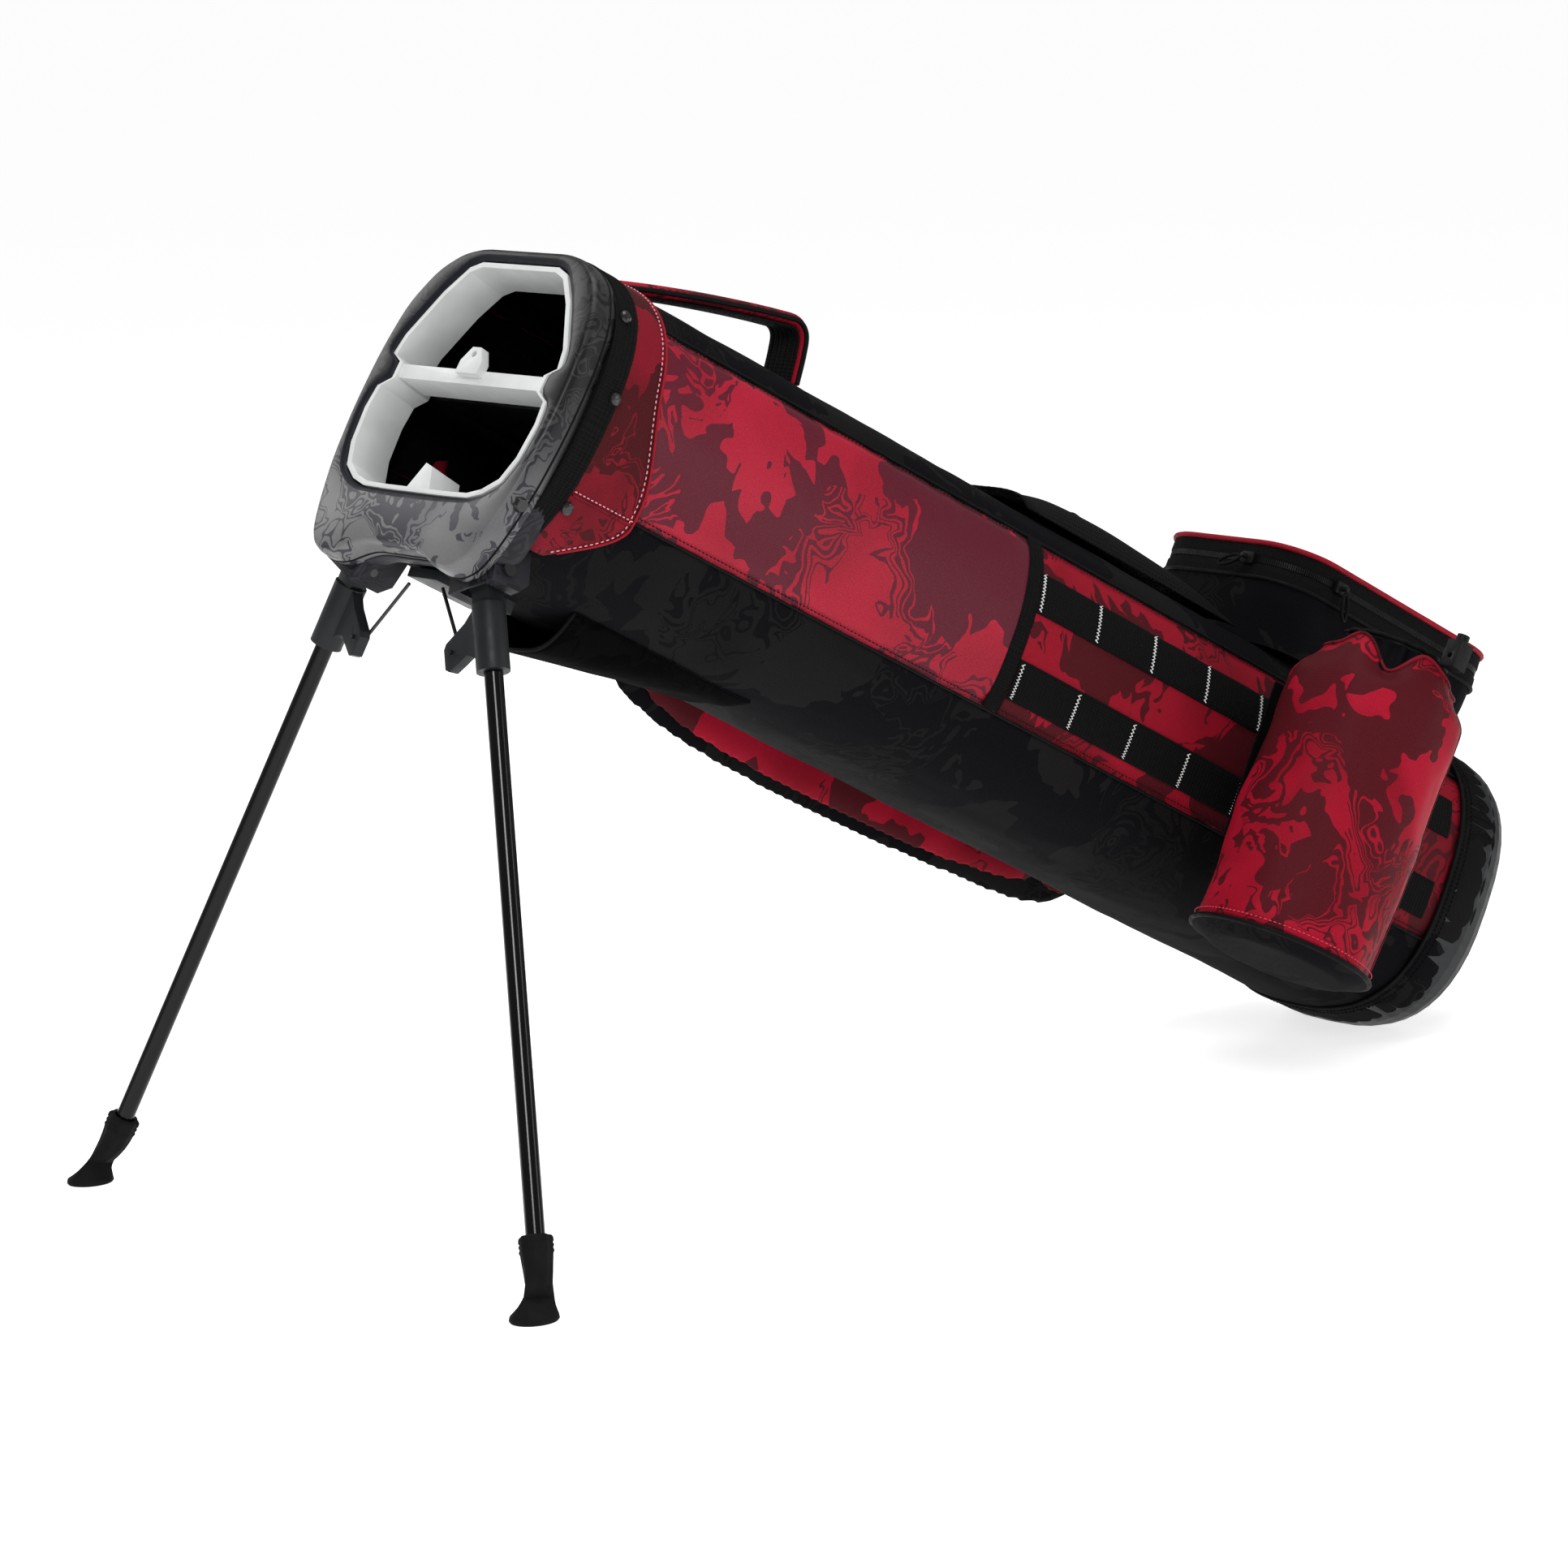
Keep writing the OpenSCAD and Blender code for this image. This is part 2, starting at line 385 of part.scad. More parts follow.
top_collar();
leg_housing();
divider_liner();
collar_band();
band_rivets();
collar_bolts();
cuff();
side_panel_near();
side_panel_far();
webbing_panel();
belly_panel();
spine_panel();
leg_hood();
panel_edge_tape();
stay_rods();
divider_sheet();
accessory_webbing();
bar_tacks();
base_cup();
base_lever();
base_lever_pin();
leg_pin();  // leg_pin_near
mirror([0, 1, 0]) leg_pin();  // leg_pin_far
leg_bracket();  // leg_bracket_near
leg_tube();  // leg_tube_near
leg_foot();  // leg_foot_near
link_wire();  // link_wire_near
mirror([0, 1, 0]) leg_bracket();  // leg_bracket_far
mirror([0, 1, 0]) leg_tube();  // leg_tube_far
mirror([0, 1, 0]) leg_foot();  // leg_foot_far
mirror([0, 1, 0]) link_wire();  // link_wire_far
actuator_rods();
actuator_yoke();
handle_grip();
handle_webbing();
mesh_pocket();
mesh_pocket_rim();
pocket_tub();
pocket_zip_band();
pocket_lid();
zip_slider_near();
zip_slider_top();
zip_pull_near();
zip_pull_top();
pouch_shell();
pouch_base();
pouch_throat();
pouch_straps();
cord_lock_body();
cord_lock_button();
pouch_cord();
strap_inner_pad();
strap_outer_pad();
strap_web_upper();
strap_web_lower();
strap_adjuster();
strap_ring();
strap_anchors();
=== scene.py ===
import bpy, bmesh, math
from mathutils import Vector, Matrix, noise


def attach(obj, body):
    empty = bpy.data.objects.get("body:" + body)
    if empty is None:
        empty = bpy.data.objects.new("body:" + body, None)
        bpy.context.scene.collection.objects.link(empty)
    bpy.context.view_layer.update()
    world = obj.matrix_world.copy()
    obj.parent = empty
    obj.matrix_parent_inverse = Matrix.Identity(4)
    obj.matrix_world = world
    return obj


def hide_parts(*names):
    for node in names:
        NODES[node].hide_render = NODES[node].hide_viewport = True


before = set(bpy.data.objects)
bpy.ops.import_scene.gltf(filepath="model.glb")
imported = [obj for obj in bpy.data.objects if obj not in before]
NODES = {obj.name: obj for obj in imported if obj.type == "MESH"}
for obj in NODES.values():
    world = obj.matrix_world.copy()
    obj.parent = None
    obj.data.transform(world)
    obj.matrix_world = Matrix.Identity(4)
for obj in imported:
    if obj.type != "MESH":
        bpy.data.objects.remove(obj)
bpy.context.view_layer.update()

# ------------------------------------------------------------------ frames
LEAN = math.radians(27); SB, CB = math.sin(LEAN), math.cos(LEAN)
D0, ORG = 189.0, 406.8
def W(x, y, z):          # bag frame in mm -> row frame in metres
    return Vector(((D0 * SB + ORG - SB * x - CB * z) / 1000, -y / 1000, (D0 * CB - CB * x + SB * z) / 1000))
CX, AX, AY, NN = 98.0, 97.5, 94.0, 2.6
def sp(v, p): return -((-v) ** p) if v < 0 else v ** p
def sec(a, t=0):
    c, s = math.cos(math.radians(a)), math.sin(math.radians(a))
    return (CX + (AX + t) * sp(c, 2 / NN), (AY + t) * sp(s, 2 / NN))
RT = math.tan(math.radians(6.3)); RC = math.cos(math.radians(6.3)); RS = math.sin(math.radians(6.3))
def ztop(x, d=-20.4): return 877 + x * RT + d / RC
def rim(x, y, z): return (x * RC - z * RS, y, 877 + x * RS + z * RC)
def pf(x, y, z):         # pouch frame, z from throat to floor
    a = math.radians(86.5)
    return (100 + z * math.sin(a) + x * math.cos(a), 158.4 + y, 247 + z * math.cos(a) - x * math.sin(a))
def sm(a, b, x):
    x = max(0.0, min(1.0, (x - a) / (b - a))); return x * x * (3 - 2 * x)
def N(x, y, z=0.0): return noise.noise(Vector((x, y, z)))

# ------------------------------------------------------------------ materials
def mat(name):
    m = bpy.data.materials.new(name); m.use_nodes = True
    nt = m.node_tree; b = nt.nodes["Principled BSDF"]
    return m, nt, b
def nd(nt, kind, **kw):
    n = nt.nodes.new(kind)
    for k, v in kw.items(): setattr(n, k, v)
    return n
def ramp(nt, src, stops, interp='LINEAR'):
    r = nd(nt, 'ShaderNodeValToRGB'); r.color_ramp.interpolation = interp
    e = r.color_ramp.elements
    while len(e) < len(stops): e.new(0.5)
    for el, (p, c) in zip(e, stops): el.position = p; el.color = (*c, 1)
    nt.links.new(src, r.inputs[0]); return r.outputs[0]
def obj_coord(nt, scale=(1, 1, 1), rot=(0, 0, 0), uv=False):
    tc = nd(nt, 'ShaderNodeTexCoord'); mp = nd(nt, 'ShaderNodeMapping')
    mp.inputs['Scale'].default_value = scale; mp.inputs['Rotation'].default_value = rot
    nt.links.new(tc.outputs['UV' if uv else 'Object'], mp.inputs[0]); return mp.outputs[0]
def tex(nt, vec, scale, detail=2, dist=0, rough=.5):
    n = nd(nt, 'ShaderNodeTexNoise'); n.inputs['Scale'].default_value = scale; n.inputs['Detail'].default_value = detail
    n.inputs['Distortion'].default_value = dist; n.inputs['Roughness'].default_value = rough
    nt.links.new(vec, n.inputs['Vector']); return n.outputs['Fac']
def mathn(nt, op, a, b=None):
    n = nd(nt, 'ShaderNodeMath', operation=op)
    for i, v in enumerate((a, b)):
        if v is None: continue
        if isinstance(v, (int, float)): n.inputs[i].default_value = v
        else: nt.links.new(v, n.inputs[i])
    return n.outputs[0]
def mix(nt, f, a, b, mode='MIX'):
    n = nd(nt, 'ShaderNodeMix', data_type='RGBA', blend_type=mode)
    for i, v in ((0, f), (6, a), (7, b)):
        if isinstance(v, (int, float)): n.inputs[i].default_value = v
        elif isinstance(v, tuple): n.inputs[i].default_value = (*v, 1)
        else: nt.links.new(v, n.inputs[i])
    return n.outputs[2]
def bump(nt, b, h, strength=.3, dist=.001):
    n = nd(nt, 'ShaderNodeBump'); n.inputs['Strength'].default_value = strength; n.inputs['Distance'].default_value = dist
    nt.links.new(h, n.inputs['Height']); nt.links.new(n.outputs[0], b.inputs['Normal'])
def set_(b, rough=.5, metal=0, coat=0, coat_r=.1, sheen=0, spec=.5):
    b.inputs['Roughness'].default_value = rough; b.inputs['Metallic'].default_value = metal
    b.inputs['Coat Weight'].default_value = coat; b.inputs['Coat Roughness'].default_value = coat_r
    b.inputs['Sheen Weight'].default_value = sheen; b.inputs['Specular IOR Level'].default_value = spec

def camo(name, dark, mid, bright, scale=16, rough=.55, coat=0.0, lines=1.0, weave=True, split=.5, spec=.06, painted_shade_ramp=None, amp=.030):
    """Two tones in torn, liquid patches, with contour lines running beside their edges."""
    m, nt, b = mat(name); v = obj_coord(nt, (1, 1, 1), (0, LEAN, 0))
    wn = nd(nt, 'ShaderNodeTexNoise'); wn.inputs['Scale'].default_value = scale * 1.5; wn.inputs['Detail'].default_value = 2; nt.links.new(v, wn.inputs['Vector'])
    va = nd(nt, 'ShaderNodeVectorMath', operation='MULTIPLY_ADD'); nt.links.new(wn.outputs['Color'], va.inputs[0])
    va.inputs[1].default_value = (.06 * 16 / scale,) * 3; nt.links.new(v, va.inputs[2]); q = va.outputs[0]
    se = nd(nt, 'ShaderNodeSeparateXYZ'); nt.links.new(q, se.inputs[0])
    wob = tex(nt, v, scale * .9, 1); on = ramp(nt, tex(nt, v, scale * .75, 1), [(.42, (.12,) * 3), (.60, (1, 1, 1))])
    def tri(src, f, k):
        return mathn(nt, 'MULTIPLY', mathn(nt, 'MULTIPLY', mathn(nt, 'PINGPONG', mathn(nt, 'ADD', mathn(nt, 'MULTIPLY', src, f), mathn(nt, 'MULTIPLY', wob, k)), .5), on), amp * 16 / scale)
    cb = nd(nt, 'ShaderNodeCombineXYZ')
    nt.links.new(mathn(nt, 'ADD', se.outputs[0], tri(se.outputs[2], 2.6 * scale, 5)), cb.inputs[0])
    nt.links.new(mathn(nt, 'ADD', se.outputs[1], tri(se.outputs[2], 3.3 * scale, 7)), cb.inputs[1])
    nt.links.new(mathn(nt, 'ADD', se.outputs[2], tri(se.outputs[0], 2.9 * scale, 6)), cb.inputs[2])
    n1 = tex(nt, cb.outputs[0], scale, 1.6, .5, .45); n2 = tex(nt, v, scale * .6, 2, .6); n3 = tex(nt, v, scale * .62, 1)
    base = mix(nt, ramp(nt, n2, [(.44, (0, 0, 0)), (.60, (1, 1, 1))]), bright, mid)
    flat = ramp(nt, n1, [(0, (0, 0, 0)), (split, (1, 1, 1))], 'CONSTANT')
    st = [(0, 0), (split - .115, 1), (split - .098, 0), (split - .062, 1), (split - .038, 0), (split, 1), (split + .028, 0), (split + .048, 1), (split + .082, 0), (split + .096, 1)]
    banded = ramp(nt, n1, [(a, (c,) * 3) for a, c in st], 'CONSTANT')
    where = mathn(nt, 'MULTIPLY', ramp(nt, n3, [(0, (0, 0, 0)), (.515, (1, 1, 1))], 'CONSTANT'), lines)
    c = mix(nt, mix(nt, where, flat, banded), dark, base)
    # painted shade and light: the colour is multiplied down to the ramp's low value towards the spine side and left
    # full at the chin, which faces the key lamp
    if painted_shade_ramp:
        tc = nd(nt, 'ShaderNodeTexCoord'); dt = nd(nt, 'ShaderNodeVectorMath', operation='DOT_PRODUCT')
        nt.links.new(tc.outputs['Object'], dt.inputs[0]); dt.inputs[1].default_value = (-SB, 0, -CB)
        x = mathn(nt, 'ADD', dt.outputs['Value'], SB * (D0 * SB + ORG) / 1000 + CB * D0 * CB / 1000)
        g = ramp(nt, mathn(nt, 'MULTIPLY', x, 5.0), [(painted_shade_ramp[0], (painted_shade_ramp[2],) * 3), (painted_shade_ramp[1], (1, 1, 1))], 'EASE')
        c = mix(nt, 1.0, c, g, 'MULTIPLY')
    f = tex(nt, v, 900, 2)
    c = mix(nt, .16, c, ramp(nt, f, [(.3, (.25, .25, .25)), (.7, (1, 1, 1))]), 'MULTIPLY')
    nt.links.new(c, b.inputs['Base Color']); set_(b, rough, 0, coat, .22, 0, spec)
    if weave:
        w1 = nd(nt, 'ShaderNodeTexWave', bands_direction='Z'); w1.inputs['Scale'].default_value = 320; nt.links.new(v, w1.inputs[0])
        w2 = nd(nt, 'ShaderNodeTexWave', bands_direction='X'); w2.inputs['Scale'].default_value = 320; nt.links.new(v, w2.inputs[0])
        h = mathn(nt, 'ADD', mathn(nt, 'MULTIPLY', w1.outputs['Fac'], w2.outputs['Fac']), mathn(nt, 'MULTIPLY', tex(nt, v, 38, 3), 2.2))
        bump(nt, b, h, .22, .0007)
    else: bump(nt, b, tex(nt, v, 1500, 2), .05, .0003)
    return m
def webbing(name, col, rough=.75, ribs=True):
    m, nt, b = mat(name); v = obj_coord(nt, uv=True)
    w1 = nd(nt, 'ShaderNodeTexWave', bands_direction='X'); w1.inputs['Scale'].default_value = .19; nt.links.new(v, w1.inputs[0])
    w2 = nd(nt, 'ShaderNodeTexWave', bands_direction='Y'); w2.inputs['Scale'].default_value = .11; nt.links.new(v, w2.inputs[0])
    h = mathn(nt, 'ADD', w1.outputs['Fac'], mathn(nt, 'MULTIPLY', w2.outputs['Fac'], .8))
    f = tex(nt, obj_coord(nt), 350, 3)
    c = mix(nt, f, tuple(x * .55 for x in col), tuple(min(1, x * 1.5) for x in col))
    # painted highlight: the rib crests, where the bump height h is high, are coloured lighter
    c = mix(nt, mathn(nt, 'MULTIPLY', h, .3), c, tuple(min(1, x * 2.4) for x in col))
    nt.links.new(c, b.inputs['Base Color']); set_(b, rough, 0, 0, .1, 0, .04); bump(nt, b, h, .55, .0006); return m
def plastic(name, col, rough=.4, grain=1200, coat=0.0, metal=0.0, amount=.08, wear=1.35, spec=.5):
    m, nt, b = mat(name); v = obj_coord(nt)
    f = tex(nt, v, 60, 4); c = mix(nt, f, tuple(x * .8 for x in col), tuple(min(1, x * wear) for x in col))
    nt.links.new(c, b.inputs['Base Color']); set_(b, rough, metal, coat, .08, 0, spec)
    r = ramp(nt, tex(nt, v, 140, 3), [(.3, (rough * .85,) * 3), (.7, (min(1, rough * 1.15),) * 3)]); nt.links.new(r, b.inputs['Roughness'])
    bump(nt, b, tex(nt, v, grain, 2), amount, .0004); return m

M = {}
M['red'] = camo('fabric_red', (.078, .0065, .0105), (.24, .0045, .015), (.36, .0065, .024), 17)
M['gloss'] = camo('fabric_red_gloss', (.098, .0075, .018), (.29, .007, .022), (.38, .0095, .030), 14, .42, .05, spec=.12)
M['dullred'] = camo('fabric_red_dull', (.060, .0065, .0085), (.125, .006, .012), (.19, .0075, .017), 21)
M['midred'] = camo('fabric_red_panel', (.066, .006, .0095), (.17, .005, .0125), (.26, .0065, .018), 18)
M['black'] = camo('fabric_black', (.0042, .0042, .0052), (.0075, .0072, .0076), (.0098, .0090, .0092), 14, .8, spec=.03)
# rim colour: swirl patches plus painted shade, darker away from the chin and lighter at the chin
M['rim'] = camo('rim_swirl_painted_shade', (.030, .031, .040), (.095, .094, .102), (.150, .146, .148), 24, .42, .04, weave=False, spec=.22, painted_shade_ramp=(.42, .90, .17), amp=.012)
M['house'] = camo('housing_swirl', (.006, .006, .009), (.012, .012, .016), (.019, .019, .025), 24, .48, .0, weave=False, spec=.2, amp=.012)
M['web'] = webbing('webbing_black', (.0036, .0036, .0038))
M['bind'] = webbing('binding_black', (.0046, .0046, .0048), .8)
M['lining'] = camo('lining_black', (.0015, .0015, .0015), (.002, .002, .002), (.0026, .0026, .0026), 20, .9, spec=.01)
M['liner'] = plastic('liner_white', (.68, .69, .69), .42, wear=1.06, spec=.3)
M['bracket'] = plastic('bracket_plastic', (.0095, .0110, .0120), .44, 900, .0, spec=.22)
M['tube'] = plastic('tube_black', (.0020, .0020, .0024), .14, 600, .0, 0, .01, spec=.22)
M['rubber'] = plastic('foot_rubber', (.0065, .0065, .0065), .8, 700, 0, 0, .25, spec=.08)
M['metal'] = plastic('metal_black', (.008, .008, .009), .28, 500, .0, .0, .02, spec=.5)
M['steel'] = plastic('steel', (.12, .12, .13), .3, 700, 0, .9, .05)
M['zip'] = plastic('zip_black', (.0036, .0036, .004), .5, spec=.14)
M['white'] = plastic('thread_white', (.78, .78, .76), .7, 900, wear=1.1)
M['redthread'] = plastic('thread_red', (.55, .03, .06), .7, 900)
M['pink'] = plastic('thread_light', (.62, .30, .33), .7, 900)
M['piping'] = plastic('piping_red', (.24, .006, .015), .6, 900, spec=.1)
M['bpipe'] = plastic('piping_black', (.0035, .0035, .0038), .65, 900, spec=.08)
M['bezel'] = plastic('bezel_dark', (.0075, .0080, .0115), .5, 900, spec=.15)
def mesh_mat():
    m, nt, b = mat('mesh_black'); v = obj_coord(nt, uv=True)
    vo = nd(nt, 'ShaderNodeTexVoronoi'); vo.inputs['Scale'].default_value = .42; vo.inputs['Randomness'].default_value = .15
    nt.links.new(v, vo.inputs['Vector'])
    c = ramp(nt, vo.outputs['Distance'], [(.22, (.0010,) * 3), (.36, (.006, .006, .0065))])
    nt.links.new(c, b.inputs['Base Color']); set_(b, .7, spec=.06); bump(nt, b, vo.outputs['Distance'], .8, .0008); return m
M['mesh'] = mesh_mat()

# ------------------------------------------------------------------ mesh helpers
def make(name, verts, faces, m, body='bag', uvs=None, smooth=True, replaces=(), slot=None, local=True):
    me = bpy.data.meshes.new(name)
    me.from_pydata([W(*v) if local else v for v in verts], [], faces)
    if uvs:
        uv = me.uv_layers.new(name='UVMap')
        for p in me.polygons:
            for li, vi in zip(p.loop_indices, p.vertices): uv.data[li].uv = uvs[vi]
    me.update()
    bm = bmesh.new(); bm.from_mesh(me); bmesh.ops.recalc_face_normals(bm, faces=bm.faces); bm.to_mesh(me); bm.free()
    for p in me.polygons: p.use_smooth = smooth
    o = bpy.data.objects.new(name, me); bpy.context.scene.collection.objects.link(o)
    me.materials.append(m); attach(o, body)
    if replaces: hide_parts(*replaces)
    return o
def grid(name, fn, nu, nv, m, lu=100, lv=100, closed=False, thick=None, lining=False, **kw):
    vs, uv, fs = [], [], []
    cols = nu if closed else nu + 1
    for j in range(nv + 1):
        for i in range(cols):
            vs.append(fn(i / nu, j / nv)); uv.append((i / nu * lu, j / nv * lv))
    for j in range(nv):
        for i in range(nu):
            a = j * cols + i; b = j * cols + (i + 1) % cols
            fs.append((a, b, b + cols, a + cols))
    o = make(name, vs, fs, m, uvs=uv, **kw)
    if thick:
        s = o.modifiers.new('s', 'SOLIDIFY'); s.thickness = thick / 1000; s.offset = -1
        if lining: o.data.materials.append(M['lining']); s.material_offset = 1
        apply(o)
    return o
def apply(o):
    dg = bpy.context.evaluated_depsgraph_get()
    me = bpy.data.meshes.new_from_object(o.evaluated_get(dg)); o.modifiers.clear(); o.data = me
def tube(name, pts, r, m, closed=False, n=8, **kw):
    P = [Vector(p) for p in pts]; k = len(P); vs, fs, uv = [], [], []
    up = None; run = 0
    for i in range(k):
        a = P[(i - 1) % k] if closed or i else P[i]; b = P[(i + 1) % k] if closed or i < k - 1 else P[i]
        t = (b - a).normalized()
        if up is None: up = t.orthogonal().normalized()
        up = (up - t * up.dot(t)).normalized(); s = t.cross(up)
        rr = r(i / (k - 1)) if callable(r) else r
        if i: run += (P[i] - P[i - 1]).length
        for j in range(n):
            q = 2 * math.pi * j / n; vs.append(tuple(P[i] + (up * math.cos(q) + s * math.sin(q)) * rr)); uv.append((j / n * 6.28 * rr, run))
    for i in range(k if closed else k - 1):
        for j in range(n):
            a = i * n + j; b = i * n + (j + 1) % n; c = ((i + 1) % k) * n + (j + 1) % n; d = ((i + 1) % k) * n + j
            fs.append((a, b, c, d))
    if not closed: fs += [tuple(range(n))[::-1], tuple((k - 1) * n + j for j in range(n))]
    return make(name, vs, fs, m, uvs=uv, **kw)
def resample(pts, step):
    P = [Vector(p) for p in pts]; out = []; acc = 0.0; nxt = 0.0
    for a, b in zip(P, P[1:]):
        l = (b - a).length
        while l > 0 and nxt <= acc + l:
            f = (nxt - acc) / l; out.append((a.lerp(b, f), (b - a).normalized())); nxt += step
        acc += l
    return out
def stitches(name, pts, m, step=3.2, ln=2.1, r=.38, **kw):
    vs, fs = [], []
    for p, t in resample(pts, step):
        u = t.orthogonal().normalized(); s = t.cross(u); base = len(vs)
        for q, k in ((-.5, .35), (-.3, 1), (.3, 1), (.5, .35)):
            for j in range(6):
                g = math.pi * j / 3; vs.append(tuple(p + t * ln * q + (u * math.cos(g) + s * math.sin(g)) * r * k))
        for i in range(3):
            for j in range(6):
                a = base + i * 6 + j; b = base + i * 6 + (j + 1) % 6; fs.append((a, b, b + 6, a + 6))
        fs += [tuple(base + j for j in range(6))[::-1], tuple(base + 18 + j for j in range(6))]
    return make(name, vs, fs, m, **kw)
def cr(P, u):            # smooth curve through points, u in 0..1
    k = len(P) - 1; x = min(u * k, k - 1e-6); i = int(x); f = x - i
    a, b, c, d = (Vector(P[max(0, min(k, j))]) for j in (i - 1, i, i + 1, i + 2))
    return .5 * ((2 * b) + (c - a) * f + (2 * a - 5 * b + 4 * c - d) * f * f + (3 * b - a - 3 * c + d) * f ** 3)
def inflate(o, press=4.0, cap=6.0, vox=5.0, frames=18):
    """Swells a closed form as filled fabric does, by cloth simulation."""
    r = o.modifiers.new('r', 'REMESH'); r.mode = 'VOXEL'; r.voxel_size = vox / 1000; apply(o)
    rest = [v.co.copy() for v in o.data.vertices]
    c = o.modifiers.new('c', 'CLOTH'); c.settings.use_pressure = True; c.settings.uniform_pressure_force = press
    c.settings.effector_weights.gravity = 0; c.settings.quality = 5; c.settings.tension_stiffness = 20
    sc = bpy.context.scene
    for f in range(1, frames + 1): sc.frame_set(f)
    apply(o); sc.frame_set(1)
    for v, p in zip(o.data.vertices, rest):
        d = v.co - p
        if d.length > cap / 1000: v.co = p + d.normalized() * cap / 1000
    s = o.modifiers.new('s', 'SUBSURF'); s.levels = 1; apply(o)
    for p in o.data.polygons: p.use_smooth = True

# ------------------------------------------------------------------ camera first
az, el, roll = math.radians(-40.6), math.radians(9.7), math.radians(1.0)
back = Vector((math.sin(az) * math.cos(el), -math.cos(az) * math.cos(el), math.sin(el)))
right = Vector((math.cos(az), math.sin(az), 0)); up = back.cross(right)
r2 = right * math.cos(roll) - up * math.sin(roll); u2 = right * math.sin(roll) + up * math.cos(roll)
loc = Vector((-430 + ORG, 0, 250)) + back * 3295.5 - r2 * 57.2 - u2 * 33.7
cam = bpy.data.cameras.new('cam'); cam.sensor_width = 36; cam.lens = 6500 / 1932 * 36; cam.clip_end = 50
co = bpy.data.objects.new('cam', cam); bpy.context.scene.collection.objects.link(co)
co.matrix_world = Matrix.Translation(loc / 1000) @ Matrix((r2, u2, back)).transposed().to_4x4()
bpy.context.scene.camera = co

# ------------------------------------------------------------------ trunk skin
LO, HI = 72, 134
def skin(a0, a1, z0, z1, puff, wr, seed, seam=1.0):
    def f(u, v):
        a = a0 + (a1 - a0) * u; x, y = sec(a)
        top = ztop(x) if z1 is None else z1
        z = z0 + (top - z0) * v
        e = min(sm(0, .12, u), sm(0, .12, 1 - u)); g = min(sm(0, 24, z - z0), sm(0, 24, top - z))
        arc = math.radians(a) * 96
        w = N(arc / 70 + seed, z / 150, seed) * 1.5 + N(arc / 26, z / 60 + seed, seed * 2) * .9 + N(arc / 12, z / 22, seed) * .3
        # short gathers running in from the seams
        k = math.exp(-min(u, 1 - u) * 9) * N(z / 13 + seed * 3, arc / 80, seed) * 1.2
        t = -1.4 * seam * (1 - e) + puff * e * g + (w * e + k) * wr * g
        x, y = sec(a, t); return (x, y, z)
    return f
grid('side_panel_near_skin', skin(LO, HI, 488, None, 1.4, .9, 1.3), 60, 150, M['gloss'], 110, 370, thick=1.5, lining=True, replaces=['side_panel_near'], slot='red_fabric')
grid('webbing_panel_skin', skin(LO, HI, 24, 488, .1, .18, 2.1), 50, 120, M['midred'], 110, 460, thick=1.5, lining=True, replaces=['webbing_panel'], slot='red_fabric')
grid('side_panel_far_skin', skin(-LO, -HI, 24, None, 1.2, .8, 4.2), 60, 240, M['gloss'], 110, 830, thick=1.5, lining=True, replaces=['side_panel_far'], slot='red_fabric')
def belly(u, v):
    x, y, z = skin(-LO, LO, 24, None, .8, 1.0, 6.4)(u, v)
    return (x, y, z)
grid('belly_skin', belly, 110, 240, M['black'], 260, 830, thick=1.5, lining=True, replaces=['belly_panel'], slot='black_fabric')
grid('spine_skin', skin(HI, 360 - HI, 24, None, .6, .9, 8.1), 70, 240, M['black'], 160, 830, thick=1.5, lining=True, replaces=['spine_panel'], slot='black_fabric')
for tag, a, s in (('near_low', LO, 1), ('near_high', HI, 1), ('far_low', -LO, 1), ('far_high', -HI, 1)):
    line = [(*sec(a, .3), z) for z in range(26, 850, 6)]
    tube('seam_' + tag, line, .9, M['bpipe'], slot='webbing_black')
    b = a + (2.2 if abs(a) < 90 else -2.2) * (1 if a > 0 else -1)
    stitches('stitch_' + tag, [(*sec(b, .25), z) for z in range(30, 850, 4)], M['bpipe'], slot='webbing_black')
def tape(u, v):
    a = LO + .8 + (HI - LO - 1.6) * u; x, y = sec(a, .9 + .5 * math.sin(math.pi * v)); return (x, y, 484 + 13 * v + 5 * (1 - u))
grid('panel_tape', tape, 40, 6, M['web'], 110, 13, thick=1, replaces=['panel_edge_tape'], slot='webbing_black')

# accessory webbing, loops standing proud between tacks
for tag, a0, a1 in (('high', 101.7, 117.6), ('low', 78.6, 89.6)):
    def f(u, v, a0=a0, a1=a1):
        z = 66 + 421 * v; q = abs(math.sin(math.pi * (484 - z) / 53.5)) ** .6
        x, y = sec(a0 + (a1 - a0) * u, .7 + 1.1 * q * (1 - .5 * (2 * u - 1) ** 6)); return (x, y, z)
    grid('webbing_row_' + tag, f, 14, 240, M['web'], 26, 421, thick=.8, slot='webbing_black', **({'replaces': ['accessory_webbing']} if tag == 'high' else {}))
vs, fs = [], []
for a0, a1 in ((101.7, 117.6), (78.6, 89.6)):
    for i in range(8):
        z = 484 - 53.5 * i; nz = 22
        for k in range(nz):
            for e in (0, 1):
                u = (k + e) / nz; zz = z + (1.5 if (k + e) % 2 else -.5)
                x, y = sec(a0 + .6 + (a1 - a0 - 1.2) * u, 1.5); X, Y = sec(a0 + .6 + (a1 - a0 - 1.2) * u, 2.3)
                b = len(vs); vs += [(x, y, zz - .35), (x, y, zz + .35), (X, Y, zz + .3), (X, Y, zz - .3)]
            fs += [(b - 4 + j, b - 4 + (j + 1) % 4, b + (j + 1) % 4, b + j) for j in range(4)]
make('tack_threads', vs, fs, M['white'], replaces=['bar_tacks'], slot='thread_white')

